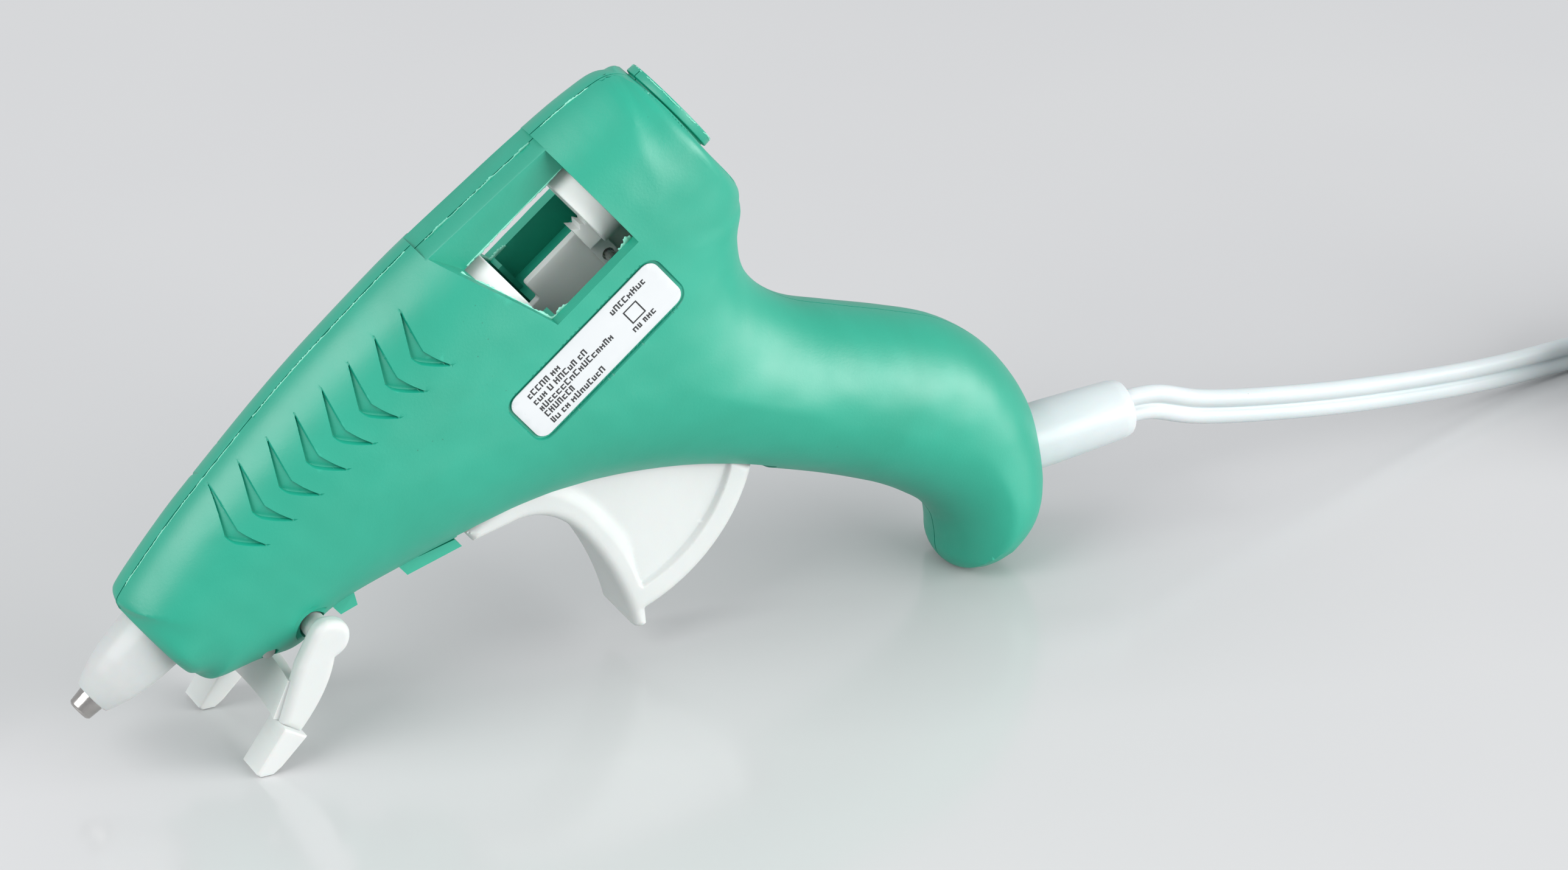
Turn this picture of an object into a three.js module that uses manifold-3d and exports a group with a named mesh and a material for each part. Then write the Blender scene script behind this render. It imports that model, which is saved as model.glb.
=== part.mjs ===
// Mini hot-melt glue gun on its fold-out stand, with its power lead. Millimetres, +Z up.
// The gun is built level in its own frame (x from the nozzle tip to the rear, y across, z up)
// and then tilted nose-down until the stand's feet and the handle's heel touch z = 0.
import * as THREE from 'three'
import { mergeVertices } from 'three/addons/utils/BufferGeometryUtils.js'
import Module from 'manifold-3d'

const wasm = await Module()
wasm.setup()

// ---------- driving dimensions ----------
const TILT = THREE.MathUtils.degToRad(38.76)
const STAND_PIVOT = [31.3, -13.4]
const STAND_HEIGHT = 18.6 // from the feet's soles up to the pivot
const TIP_X = -82.87 // the nozzle tip in the row frame
const TIP_Z = STAND_HEIGHT - STAND_PIVOT[0] * Math.sin(TILT) - STAND_PIVOT[1] * Math.cos(TILT)
const GAP = 0.3 // between separate pieces
const SEAM = 0.1 // each shell stops this far from the middle plane

const WALL = 2
const NOSE_X = 14.5
const REAR_X = 116.6
const HANDLE_TOP = -28 // below this the handle runs on past the rear face
const NOSE_HALF_WIDTH = 8.9
const BODY_HALF_WIDTH = 12.3
const HANDLE_HALF_WIDTH = 12
const FACE_ROUNDING = 2

const STICK_BORE = 3.75
const CHAMBER_R = 5
const CHAMBER_X = [21, 52]
const PAD = { x: [27, 45], halfWidth: 4.2, bottom: -9.5 }

const TRIGGER_PIVOT = [73.5, -27.9]
const TRIGGER_HALF_WIDTH = 6
const TRIGGER_ARC_R = 28.2
const PIN_R = 1
const PIN_HALF_LENGTH = 6.8
const CARRIER_X = 98
const CARRIER_R = 7
const DRIVE_PIN = [79.5, -11.2]
const JAW_PIN = [97.2, -9.6]

const STAND_HUB_R = 2.6
const STAND_ARM_Y = [9.2, 12.2]
const FOOT_Y = [7.92, 13.35]

const SCREWS = [[24.2, -12.2], [60, -16.5], [108.5, -15.5], [118.6, -70]]
const SCREW_R = 1.1

const WINDOW = { top: 15, ridge: 8.2, sill: -3.9, rear: 101, ridgeHalfWidth: 4 }
const TOP_STEP = { x: [78.7, 101.1], depth: 0.9 }
const LABEL = { x: [72, 100.5], z: [-16.1, -7.5], corner: 1.7 }
const CHEVRON = { count: 8, first: 32.1, pitch: 5.07 }

const RELIEF = { at: [122.7, -88.4], rise: THREE.MathUtils.degToRad(5), r: 4.9, out: 15.5, back: -7 }
const CORD_WIDTH = 5.4
const CORD_THICKNESS = 2.7
// the hank: two turns side by side in two layers, pinched together where the tie goes round
const HANK = { x: 221, y: -9.6, halfRun: 31.5, r: [16.2, 21.6], pinch: 12.1, bottom: 0.95, top: 11.95 }
const TIE = { thickness: 0.6, width: 4.5 }
const PLUG = { x: HANK.x - 5, y: HANK.y - 5, z: HANK.top + GAP + 6.4, length: 24, width: 17, height: 13 }

// ---------- helpers ----------
function toManifold(geometry) {
  let g = geometry.clone()
  g.deleteAttribute('normal')
  g.deleteAttribute('uv')
  g = mergeVertices(g, 1e-4)
  return new wasm.Manifold(new wasm.Mesh({
    numProp: 3,
    vertProperties: new Float32Array(g.attributes.position.array),
    triVerts: new Uint32Array(g.index.array),
  }))
}

function toGeometry(manifold) {
  const mesh = manifold.simplify(0.01).getMesh()
  const g = new THREE.BufferGeometry()
  g.setAttribute('position', new THREE.BufferAttribute(new Float32Array(mesh.vertProperties), 3))
  g.setIndex(new THREE.BufferAttribute(new Uint32Array(mesh.triVerts), 1))
  g.computeVertexNormals()
  return g
}

// a box from its lowest to its highest corner
function box(x, y, z) {
  const g = new THREE.BoxGeometry(x[1] - x[0], y[1] - y[0], z[1] - z[0])
  return g.translate((x[0] + x[1]) / 2, (y[0] + y[1]) / 2, (z[0] + z[1]) / 2)
}

// a solid of revolution about the x axis; the profile is a list of [x, r]
function latheX(profile, sides = 24) {
  const points = profile.map(([x, r]) => new THREE.Vector2(r, x))
  return new THREE.LatheGeometry(points, sides).rotateZ(-Math.PI / 2)
}

// a ring of revolution: the outer profile forwards and the bore's back again
function ringX(outer, bore, sides = 24) {
  const profile = [...outer, ...bore.slice().reverse()]
  profile.push(outer[0])
  return latheX(profile, sides)
}

// a cylinder along y at (x, z)
function barY([x, z], r, y, sides = 16) {
  const g = new THREE.CylinderGeometry(r, r, y[1] - y[0], sides)
  return g.translate(x, (y[0] + y[1]) / 2, z)
}

// an outline in the x-z plane, given a thickness along y
function slabY(shape, y, curveSegments = 6) {
  const g = new THREE.ExtrudeGeometry(shape, { depth: y[1] - y[0], bevelEnabled: false, curveSegments })
  return g.rotateX(Math.PI / 2).translate(0, y[1], 0)
}

function outline(points) {
  return new THREE.Shape(points.map(([x, z]) => new THREE.Vector2(x, z)))
}

function join(first, ...others) {
  return others.reduce((solid, other) => solid.add(other), first)
}

function cut(first, ...others) {
  return others.reduce((solid, other) => solid.subtract(other), first)
}

// the span from a to b on the left (side -1) or right (side 1) of the middle plane
function span(side, a, b) {
  return side > 0 ? [a, b] : [-b, -a]
}

function smoothstep(t) {
  const s = Math.min(1, Math.max(0, t))
  return s * s * (3 - 2 * s)
}

function finish(color, roughness, metalness = 0) {
  return new THREE.MeshStandardMaterial({ color, roughness, metalness })
}

const GREEN = finish(0x3ab294, 0.5)
const WHITE = finish(0xe2e6e2, 0.45)
const CLEAR_WHITE = finish(0xe6efec, 0.4)
const SILICONE = finish(0xeceeee, 0.6)
const STEEL = finish(0xb4b4b0, 0.25, 1)
const ALUMINIUM = finish(0xb9bcc0, 0.4, 1)
const BRASS = finish(0xc9a75a, 0.35, 1)
const CERAMIC = finish(0xd8d2c4, 0.8)
const PAPER = finish(0xdfe4e6, 0.5)

function mesh(name, shape, material) {
  const geometry = shape.isBufferGeometry ? shape : toGeometry(shape)
  const m = new THREE.Mesh(geometry, material)
  m.name = name
  return m
}

// ---------- the shells' form ----------
// Sections across the gun: a point on the top-and-back line and its partner on the bottom-and-front
// line, [x, z, x, z], from the nose to the heel.
const SECTIONS = [
  [14.5, 7.2, 14.5, -8], [15, 8.4, 14.9, -9.8], [16.4, 9, 16.6, -11.2], [21, 10.1, 21.5, -13.6],
  [26, 11.1, 26, -16.5], [29.5, 11.7, 29, -17.2], [35, 12.4, 34, -16.7], [46.5, 13.7, 46, -20.6],
  [55.6, 14.4, 54, -23.9], [64.7, 14.7, 60, -26.5], [76, 14.8, 65, -29.1], [88, 14.2, 69.5, -32],
  [99, 13.5, 73, -34.6], [109, 12.4, 76, -37.1], [114.6, 10.9, 78.2, -39.1], [116.6, 8.2, 79.5, -40.3],
  [116.6, -3, 81.8, -42.6], [116.6, -15.5, 84, -45], [115.6, -18.9, 85.5, -46.8],
  [112.2, -22.3, 87, -48.6], [109.6, -27, 88.6, -50.7], [109.2, -32, 90.4, -53.3],
  [110.8, -38, 92.6, -56.6], [115.2, -45.3, 95.6, -61.3], [120.2, -53, 98.6, -66.5],
  [124.5, -60.5, 101.2, -71.6], [126.6, -68, 102.9, -76.2], [126.7, -75, 104, -80.6],
  [125.4, -81.5, 103.9, -84.3], [122.7, -87, 102.4, -87.4], [119.8, -91.4, 100.8, -89.9],
  [117, -94.2, 100.5, -92], [114, -95.9, 101.9, -93.9], [111.3, -96.6, 104.3, -95.6],
  [108.6, -96.8, 107.4, -96.7],
]
const LAST = SECTIONS.length - 1
const REAR_FACE = [14.4, 17.7] // the sections between which the top line runs down the rear face
const backLine = new THREE.CatmullRomCurve3(SECTIONS.map(([x, z]) => new THREE.Vector3(x, 0, z)))
const frontLine = new THREE.CatmullRomCurve3(SECTIONS.map(([, , x, z]) => new THREE.Vector3(x, 0, z)))

// a point on either line at a section number, moved inwards by an offset
function linePoint(line, section, offset) {
  const t = Math.min(1, Math.max(0, section / LAST))
  const p = line.getPoint(t)
  const tangent = line.getTangent(t)
  const inwards = line === backLine ? 1 : -1
  return [p.x + inwards * tangent.z * offset, p.z - inwards * tangent.x * offset]
}

function linePoints(line, from, to, steps) {
  return Array.from({ length: steps + 1 }, (_, i) => linePoint(line, from + (to - from) * i / steps, 0))
}

// the long rounded edges, carried on straight past the rear face
function longEdges() {
  const top = linePoints(backLine, 0, REAR_FACE[0], 40)
  const [x, z] = top.at(-1)
  top.push([x + 10, z - 2.7])
  const back = linePoints(backLine, REAR_FACE[1], LAST, 50)
  back.unshift([back[0][0] + 6, back[0][1] + 6])
  return [top, back, linePoints(frontLine, 0, LAST, 80)]
}
const EDGES = longEdges()

function distanceToSegment(x, z, [ax, az], [bx, bz]) {
  const dx = bx - ax
  const dz = bz - az
  const t = Math.min(1, Math.max(0, ((x - ax) * dx + (z - az) * dz) / (dx * dx + dz * dz + 1e-12)))
  return Math.hypot(x - ax - t * dx, z - az - t * dz)
}

function distanceToEdge(x, z) {
  let nearest = Infinity
  for (const edge of EDGES) {
    for (let i = 1; i < edge.length; i++) {
      nearest = Math.min(nearest, distanceToSegment(x, z, edge[i - 1], edge[i]))
    }
  }
  return nearest
}

// how far in from its edge the side's elliptical rounding reaches
function roundingDepth(x, z) {
  const body = 9 + 9 * smoothstep((x - NOSE_X) / 45)
  const handle = 12.3 - 2.8 * smoothstep((-78 - z) / 14)
  return THREE.MathUtils.lerp(body, handle, smoothstep((-25 - z) / 30))
}

function fullHalfWidth(x, z) {
  const body = THREE.MathUtils.lerp(NOSE_HALF_WIDTH, BODY_HALF_WIDTH, smoothstep((x - NOSE_X) / 45))
  return THREE.MathUtils.lerp(body, HANDLE_HALF_WIDTH, smoothstep((-25 - z) / 30))
}

function faceRounding(distance, radius) {
  const d = Math.min(radius, Math.max(0, distance))
  return radius - Math.sqrt(radius * radius - (radius - d) ** 2)
}

// the outer surface's distance from the middle plane, for a body shrunk all round by an offset
function halfThickness(x, z, offset) {
  const depth = roundingDepth(x, z) - offset
  const q = Math.min(1, Math.max(0, (distanceToEdge(x, z) - offset) / depth))
  const full = (fullHalfWidth(x, z) - offset) * Math.sqrt(1 - (1 - q) ** 2)
  const radius = Math.max(0.3, FACE_ROUNDING - offset)
  const nose = faceRounding(x - NOSE_X - offset, radius)
  const rear = z > HANDLE_TOP ? faceRounding(REAR_X - offset - x, radius) : 0
  return Math.max(SEAM + 0.15, full - nose - rear)
}

// one half of the body as a closed solid, from a flat base at y = base out to its surface
function pillow(side, offset, base = SEAM, stations = 42, across = 8) {
  const positions = []
  for (let i = 0; i <= stations; i++) {
    const [ax, az] = linePoint(backLine, LAST * i / stations, offset)
    const [bx, bz] = linePoint(frontLine, LAST * i / stations, offset)
    for (let k = 0; k <= across; k++) {
      const t = (1 - Math.cos(Math.PI * k / across)) / 2
      const x = ax + (bx - ax) * t
      const z = az + (bz - az) * t
      positions.push([x, side * base, z], [x, side * halfThickness(x, z, offset), z])
    }
  }
  const index = []
  const row = across + 1
  const id = (i, k, top) => 2 * (i * row + k) + top
  const quad = (a, b, c, d) => {
    index.push(a, b, c, a, c, d)
  }
  for (let i = 0; i < stations; i++) {
    for (let k = 0; k < across; k++) {
      quad(id(i, k, 1), id(i, k + 1, 1), id(i + 1, k + 1, 1), id(i + 1, k, 1))
      quad(id(i, k, 0), id(i + 1, k, 0), id(i + 1, k + 1, 0), id(i, k + 1, 0))
    }
    quad(id(i, 0, 0), id(i, 0, 1), id(i + 1, 0, 1), id(i + 1, 0, 0))
    quad(id(i, across, 0), id(i + 1, across, 0), id(i + 1, across, 1), id(i, across, 1))
  }
  for (let k = 0; k < across; k++) {
    quad(id(0, k, 0), id(0, k + 1, 0), id(0, k + 1, 1), id(0, k, 1))
    quad(id(stations, k, 0), id(stations, k, 1), id(stations, k + 1, 1), id(stations, k + 1, 0))
  }
  if (side > 0) index.reverse()
  const g = new THREE.BufferGeometry()
  g.setAttribute('position', new THREE.Float32BufferAttribute(positions.flat(), 3))
  g.setIndex(index)
  const whole = toManifold(g)
  if (offset === 0) return whole
  return whole.intersect(toManifold(box([NOSE_X + offset + 0.05, 140], [-20, 20], [-110, 30])))
}

// ---------- cuts in the shells ----------
// the window: a pocket beside the top ridge that opens into the channel, its front wall leaning
function windowCut(side) {
  const { top, ridge, sill, rear, ridgeHalfWidth } = WINDOW
  const front = new THREE.Shape()
  front.moveTo(78.6, top)
  front.lineTo(79, 13.6)
  front.quadraticCurveTo(82.9, 5.5, 85, sill)
  front.lineTo(rear, sill)
  front.lineTo(rear, top)
  front.closePath()
  const pocket = toManifold(slabY(front, span(side, ridgeHalfWidth, 14), 6))
  const inside = toManifold(box([84.6, rear], span(side, 0, 10), [sill, ridge]))
  return pocket.add(inside)
}

// the strip above the window is cut a little lower than the rest of the top
function topStepCut() {
  const { x, depth } = TOP_STEP
  const sections = [10.1, 10.6, 11.1, 11.6, 12.3]
  const floor = sections.map((section) => linePoint(backLine, section, depth))
  const ends = [[x[1], floor.at(-1)[1]], [x[1], 20], [x[0], 20], [x[0], floor[0][1]]]
  return toManifold(slabY(outline([...floor.slice(1, -1), ...ends]), [-14, 14]))
}

function labelCut(side) {
  const { x, z, corner } = LABEL
  const rim = 0.5
  const shape = roundedBox([x[0] - rim, x[1] + rim], [z[0] - rim, z[1] + rim], corner + rim)
  return toManifold(slabY(shape, span(side, BODY_HALF_WIDTH - 0.6, 14), 3))
}

function roundedBox(x, z, r) {
  const s = new THREE.Shape()
  s.moveTo(x[0] + r, z[0])
  s.lineTo(x[1] - r, z[0])
  s.absarc(x[1] - r, z[0] + r, r, -Math.PI / 2, 0)
  s.lineTo(x[1], z[1] - r)
  s.absarc(x[1] - r, z[1] - r, r, 0, Math.PI / 2)
  s.lineTo(x[0] + r, z[1])
  s.absarc(x[0] + r, z[1] - r, r, Math.PI / 2, Math.PI)
  s.lineTo(x[0], z[0] + r)
  s.absarc(x[0] + r, z[0] + r, r, Math.PI, Math.PI * 1.5)
  return s
}

// the row of arrow-shaped grooves, all of one depth below the curved side
function chevronCuts(side, floor) {
  const arrow = outline([[0, 7.3], [3.65, 12.5], [1.65, 7.5], [3.15, 3.6]])
  const grooves = []
  for (let i = 0; i < CHEVRON.count; i++) {
    const groove = slabY(arrow, span(side, 2, 14)).translate(CHEVRON.first + CHEVRON.pitch * i, 0, 0)
    grooves.push(toManifold(groove).subtract(floor))
  }
  return grooves
}

// the slot in the belly and the front of the handle that the trigger moves through
function triggerSlot() {
  const s = outline([
    [53.9, -17.5], [61, -20.5], [68, -23.5], [74.5, -26.8], [80, -31.5], [86, -37.5],
    [92.6, -46], [92.6, -53.5], [84, -60], [53.9, -40],
  ])
  return toManifold(slabY(s, [-TRIGGER_HALF_WIDTH - 0.6, TRIGGER_HALF_WIDTH + 0.6]))
}

function reliefAxis(distance) {
  const angle = RELIEF.rise - TILT
  return [RELIEF.at[0] + distance * Math.cos(angle), RELIEF.at[1] + distance * Math.sin(angle)]
}

function reliefHole() {
  const [x, z] = reliefAxis(0)
  const hole = latheX([[-5.3, 0], [-5.3, RELIEF.r + GAP], [8, RELIEF.r + GAP], [8, 0]])
  return toManifold(hole.rotateY(TILT - RELIEF.rise).translate(x, 0, z))
}

// bulkheads that hold the hot parts and the stick guide on the axis
function bulkheads(inside) {
  const places = [[23, 24.6, 5.3, -7], [48.6, 50.2, 5.3, -6], [69.5, 71.1, 6.9, -4]]
  return places.map(([from, to, bore, bottom]) => {
    const plate = inside.intersect(toManifold(box([from, to], [-14, 14], [bottom, 16])))
    const hole = latheX([[from - 1, 0], [from - 1, bore], [to + 1, bore], [to + 1, 0]])
    return plate.subtract(toManifold(hole))
  })
}

// an upright rib before the window and, in the right shell, a ledge below it
function windowRibs(side, inside) {
  const upright = box([84.9, 85.7], span(side, 7.4, 14), [-9.5, side > 0 ? 4 : -1.5])
  const ledge = box([84.9, 97.8], span(side, 3.4, 14), [-9.8, -9])
  const ribs = side > 0 ? [upright, ledge] : [upright]
  return ribs.map((rib) => toManifold(rib).intersect(inside))
}

function shell(side) {
  const outer = pillow(side, 0)
  const core = pillow(side, 1)
  const floor = pillow(side, 0.65, 0)
  const cavity = pillow(side, WALL, -1)
  const within = [SEAM, 14]
  const ring = ringX(
    [[113.4, 7], [117.1, 7], [117.1, 7.6], [118.5, 7.6]],
    [[113.4, 4.2], [118.5, 4.2]],
  )
  const half = toManifold(box([0, 140], span(side, ...within), [-110, 30]))
  const ridgeY = [-WINDOW.ridgeHalfWidth - 1, WINDOW.ridgeHalfWidth + 1]
  const ridge = outer.intersect(toManifold(box([77.5, 103.5], ridgeY, [WINDOW.ridge, 16])))
  const bosses = SCREWS.map((at) => toManifold(barY(at, 2.7, span(side, ...within))).intersect(core))
  const pinBoss = toManifold(barY(TRIGGER_PIVOT, 3, span(side, 6.6, 14))).intersect(core)
  const standBoss = toManifold(barY(STAND_PIVOT, 3.2, span(side, 4.6, 14))).intersect(core)
  const lugs = [
    [[34.8, -13], [34.8, -17.4], [37.4, -18.3], [38.4, -16.2], [38.8, -13]],
    [[45.2, -17.5], [45.2, -20.9], [53.4, -24.2], [53.4, -20.5]],
  ].map((points) => toManifold(slabY(outline(points), span(side, 0.6, 4.6))))
  const lid = toManifold(ring).intersect(half)
  const ribs = [...bulkheads(core), ...windowRibs(side, core)]
  const hollow = cut(outer, cavity)
  const body = join(hollow, lid, ridge, ...ribs, ...bosses, pinBoss, standBoss, ...lugs).intersect(half)
  const screwHole = side > 0 ? SCREW_R + 0.25 : SCREW_R + 0.15
  const screwSpan = side > 0 ? [-1, 14] : [-7.2, 1]
  const screwCuts = SCREWS.map((at) => toManifold(barY(at, screwHole, screwSpan)))
  const headCuts = side > 0 ? SCREWS.map((at) => toManifold(barY(at, 2.35, [headSeat(at), 14]))) : []
  return cut(
    body,
    toManifold(latheX([[12, 0], [12, 5.6], [18, 5.6], [18, 0]])),
    toManifold(latheX([[112, 0], [112, 4.2], [119, 4.2], [119, 0]])),
    windowCut(side),
    topStepCut(),
    ...(side < 0 ? [labelCut(side)] : []),
    ...chevronCuts(side, floor),
    triggerSlot(),
    reliefHole(),
    toManifold(barY(TRIGGER_PIVOT, PIN_R + GAP, span(side, 0, PIN_HALF_LENGTH + 0.1))),
    toManifold(barY(STAND_PIVOT, 2.2, span(side, 3, 14))),
    toManifold(barY(STAND_PIVOT, STAND_HUB_R + 0.5, span(side, 7.4, 14))),
    toManifold(barY(STAND_PIVOT, 3.95, span(side, STAND_ARM_Y[0] - 0.3, 14))),
    ...screwCuts,
    ...headCuts,
  )
}

// how far out each screw head's seat lies, 2.2 mm below the outer surface
function headSeat([x, z]) {
  return halfThickness(x, z, 0) - 2.9
}

// ---------- hot end ----------
function nozzleTip() {
  const outer = [[0, 1.55], [0.35, 1.85], [2.7, 2.1], [18.9, 2.1], [18.9, 3.4], [20.7, 3.4]]
  const bore = [[0, 0.8], [16, 0.8], [20.7, 1.6]]
  return ringX(outer, bore, 12)
}

function nozzleSleeve() {
  const outer = [
    [2.7, 2.65], [4, 3.2], [6, 4], [8.5, 4.65], [11.5, 5.05], [14.2, 5.2], [17.2, 5.2], [17.2, 5.8],
    [18.5, 5.8],
  ]
  return ringX(outer, [[2.7, 2.35], [18.5, 2.4]], 28)
}

function meltChamber() {
  const [front, rear] = CHAMBER_X
  const profile = [[front, 0], [front, 3.6], [front + 1.4, CHAMBER_R], [rear, CHAMBER_R], [rear, 0]]
  const body = toManifold(latheX(profile))
  const pad = toManifold(box(PAD.x, [-PAD.halfWidth, PAD.halfWidth], [PAD.bottom, -3]))
  const slot = toManifold(box([PAD.x[0] - 1, PAD.x[1] + 1], [-3.3, 3.3], [-8.2, -5.9]))
  const bore = toManifold(latheX([
    [front - 1, 0], [front - 1, 0.9], [front + 1.5, 0.9], [front + 5, STICK_BORE],
    [rear + 1, STICK_BORE], [rear + 1, 0],
  ]))
  return cut(join(body, pad), slot, bore)
}

function heatingElement() {
  const slab = toManifold(box([27.5, 44.5], [-3, 3], [-7.9, -6.2]))
  const tabs = [-1, 1].map((side) => toManifold(box([44, 47.5], span(side, 1.3, 2.7), [-7.4, -6.7])))
  return join(slab, ...tabs)
}

function heaterClip() {
  const band = (r, bottom) => {
    const s = new THREE.Shape()
    s.moveTo(-r, bottom)
    s.lineTo(r, bottom)
    s.lineTo(r, 0)
    s.absarc(0, 0, r, 0, Math.PI)
    s.closePath()
    return s
  }
  const s = band(CHAMBER_R + 0.8, PAD.bottom - 0.7)
  s.holes.push(band(CHAMBER_R + 0.3, PAD.bottom - 0.2))
  const g = new THREE.ExtrudeGeometry(s, { depth: 6, bevelEnabled: false, curveSegments: 10 })
  return g.rotateX(Math.PI / 2).rotateZ(Math.PI / 2).translate(36, 0, 0)
}

function feedSleeve() {
  return ringX([[52.3, 5.4], [63.6, 5.4], [63.6, 6.3], [66.2, 6.3]], [[52.3, STICK_BORE], [66.2, 4]])
}

function stickGuide() {
  const tube = toManifold(ringX([[66.5, 6.6], [84.4, 6.6]], [[66.5, 4.1], [84.4, 4.4]]))
  return tube.subtract(toManifold(box([77.6, 90], [-0.3, 3.1], [-8, 0])))
}

// ---------- trigger and feed ----------
function triggerProfile() {
  const [px, pz] = TRIGGER_PIVOT
  const s = new THREE.Shape()
  s.moveTo(55, -22.2)
  s.lineTo(55, -24.6)
  s.lineTo(61.5, -27.6)
  s.quadraticCurveTo(66.3, -30.5, 66.2, -37.5)
  s.quadraticCurveTo(66, -47, 62, -55.4)
  s.quadraticCurveTo(62.2, -57, 63.6, -56.9)
  s.lineTo(65, -54.8)
  s.absarc(px, pz, TRIGGER_ARC_R, THREE.MathUtils.degToRad(252.5), THREE.MathUtils.degToRad(306.5))
  s.lineTo(88.5, -45)
  s.lineTo(79, -27.9)
  s.absarc(px, pz, 5, 0, Math.PI * 0.72)
  s.lineTo(62, -23.6)
  s.closePath()
  return s
}

function triggerPanel() {
  const [px, pz] = TRIGGER_PIVOT
  const s = new THREE.Shape()
  s.moveTo(68.4, -33)
  s.quadraticCurveTo(69, -44, 66.6, -50.6)
  s.absarc(px, pz, TRIGGER_ARC_R - 3.6, THREE.MathUtils.degToRad(254), THREE.MathUtils.degToRad(304))
  s.lineTo(86, -44)
  s.lineTo(78, -34.5)
  s.closePath()
  return s
}

function trigger() {
  const [px, pz] = TRIGGER_PIVOT
  const finger = toManifold(slabY(triggerProfile(), [-TRIGGER_HALF_WIDTH, TRIGGER_HALF_WIDTH], 7))
  const panels = [-1, 1].map((side) => (
    toManifold(slabY(triggerPanel(), span(side, TRIGGER_HALF_WIDTH - 0.8, 9), 7))
  ))
  // room for the spring, open towards the channel
  const springSpan = [3.1, 9]
  const springRoom = barY(TRIGGER_PIVOT, 3.6, springSpan, 20)
  const relief = [springRoom, box([px - 6.4, px + 6.4], springSpan, [pz, pz + 6.4])]
  const arm = toManifold(slabY(outline([
    [px - 3, pz], [px + 4.4, pz], [px + 9.5, pz + 18.2], [px + 7, pz + 19.3], [px + 4.3, pz + 20.1],
  ]), [-3, -0.2]))
  const [dx, dz] = DRIVE_PIN
  const along = new THREE.Vector2(dx - px, dz - pz).normalize()
  const slotPoints = [[-1.75, -2.7], [1.75, -2.7], [1.75, 1.8], [-1.75, 1.8]]
  const slot = outline(slotPoints.map(([a, b]) => (
    [dx + a * along.y + b * along.x, dz - a * along.x + b * along.y]
  )))
  const body = cut(finger, ...panels, ...relief.map(toManifold))
  const pinHole = toManifold(barY(TRIGGER_PIVOT, PIN_R + GAP, [-9, 9]))
  return cut(join(body, arm), toManifold(slabY(slot, [-4, 1])), pinHole)
}

function triggerSpring() {
  const turns = 2
  const pitch = 0.85
  const points = []
  const [px, pz] = TRIGGER_PIVOT
  points.push(new THREE.Vector3(px - 4.2, 3.6, pz + 3.6))
  for (let i = 0; i <= turns * 10; i++) {
    const angle = Math.PI * 0.6 - 2 * Math.PI * i / 10
    const [x, z] = [px + 2.6 * Math.cos(angle), pz + 2.6 * Math.sin(angle)]
    points.push(new THREE.Vector3(x, 3.6 + pitch * i / 10, z))
  }
  points.push(new THREE.Vector3(px + 4, 3.6 + pitch * turns, pz + 3.6))
  return tube(points, 0.35, turns * 12 + 4, 6)
}

function tube(points, r, steps, sides = 8) {
  const section = new THREE.Shape(circlePoints(r, sides))
  return new THREE.ExtrudeGeometry(section, { steps, extrudePath: new THREE.CatmullRomCurve3(points) })
}

function circlePoints(r, sides) {
  return Array.from({ length: sides }, (_, i) => {
    const angle = 2 * Math.PI * i / sides
    return new THREE.Vector2(r * Math.cos(angle), r * Math.sin(angle))
  })
}

// a ring round the glue stick on a keel that the trigger's arm pushes forwards
function feedCarrier() {
  const ring = toManifold(ringX([[CARRIER_X, CARRIER_R], [CARRIER_X + 8, CARRIER_R]],
    [[CARRIER_X, 4.2], [CARRIER_X + 8, 4.2]], 28))
  const keel = outline([
    [76.6, -7.3], [86, -7.3], [86, -3.9], [99, -3.9], [99, -5], [104, -5], [104, -13.2], [76.6, -13.2],
  ])
  const plate = toManifold(slabY(keel, [0.1, 1.3]))
  const drivePin = toManifold(barY(DRIVE_PIN, 1.4, [-2.7, 1], 12))
  const relief = toManifold(box([95.2, CARRIER_X + 1.8], [-3.4, -0.2], [-9, 0]))
  return cut(join(ring, plate, drivePin), relief, toManifold(barY(JAW_PIN, 1, [-5, 5], 12)))
}

function gripperJaw() {
  const [px, pz] = JAW_PIN
  const shape = outline([
    [px - 1.4, pz + 4], [px + 1.5, pz + 4], [px + 1.5, -2.2], [px + 0.9, -1.1], [px + 0.5, -1.9],
    [px, -1], [px - 0.5, -1.8], [px - 1.4, -0.8],
  ])
  const shank = box([px - 1.4, px + 1.4], [-1.1, -0.4], [pz - 1.6, pz + 5])
  const jaw = join(toManifold(slabY(shape, [-3, -0.4])), toManifold(shank))
  return cut(jaw, toManifold(barY(JAW_PIN, 0.95, [-5, 5], 12)))
}

// ---------- stand ----------
// Drawn upright, as it stands, with its pivot at the origin.
function stand() {
  const arm = new THREE.Shape()
  arm.moveTo(-4.5, -14)
  arm.quadraticCurveTo(0.3, -8.6, 1.3, -3.3)
  arm.quadraticCurveTo(3.9, -2.2, 3.6, 0.4)
  arm.quadraticCurveTo(3.1, 2.6, 0.2, 2.6)
  arm.quadraticCurveTo(-1.2, 2.4, -2, 1)
  arm.lineTo(-4.3, -3.4)
  arm.lineTo(-7.2, -11.9)
  arm.closePath()
  const foot = outline([
    [-11.75, -18.1], [-11.3, -18.6], [-9.3, -18.6], [-8, -17.7], [-4, -13.8], [-7.25, -11.8],
  ])
  const pieces = []
  for (const side of [-1, 1]) {
    pieces.push(
      toManifold(slabY(arm, span(side, ...STAND_ARM_Y), 5)),
      toManifold(slabY(foot, span(side, ...FOOT_Y))),
      toManifold(barY([0, 0], STAND_HUB_R, span(side, 7.7, STAND_ARM_Y[0] + 1), 20)),
      toManifold(barY([0, 0], 1.9, span(side, 4, 8.5), 16)),
    )
  }
  return join(...pieces, standWeb())
}

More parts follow.
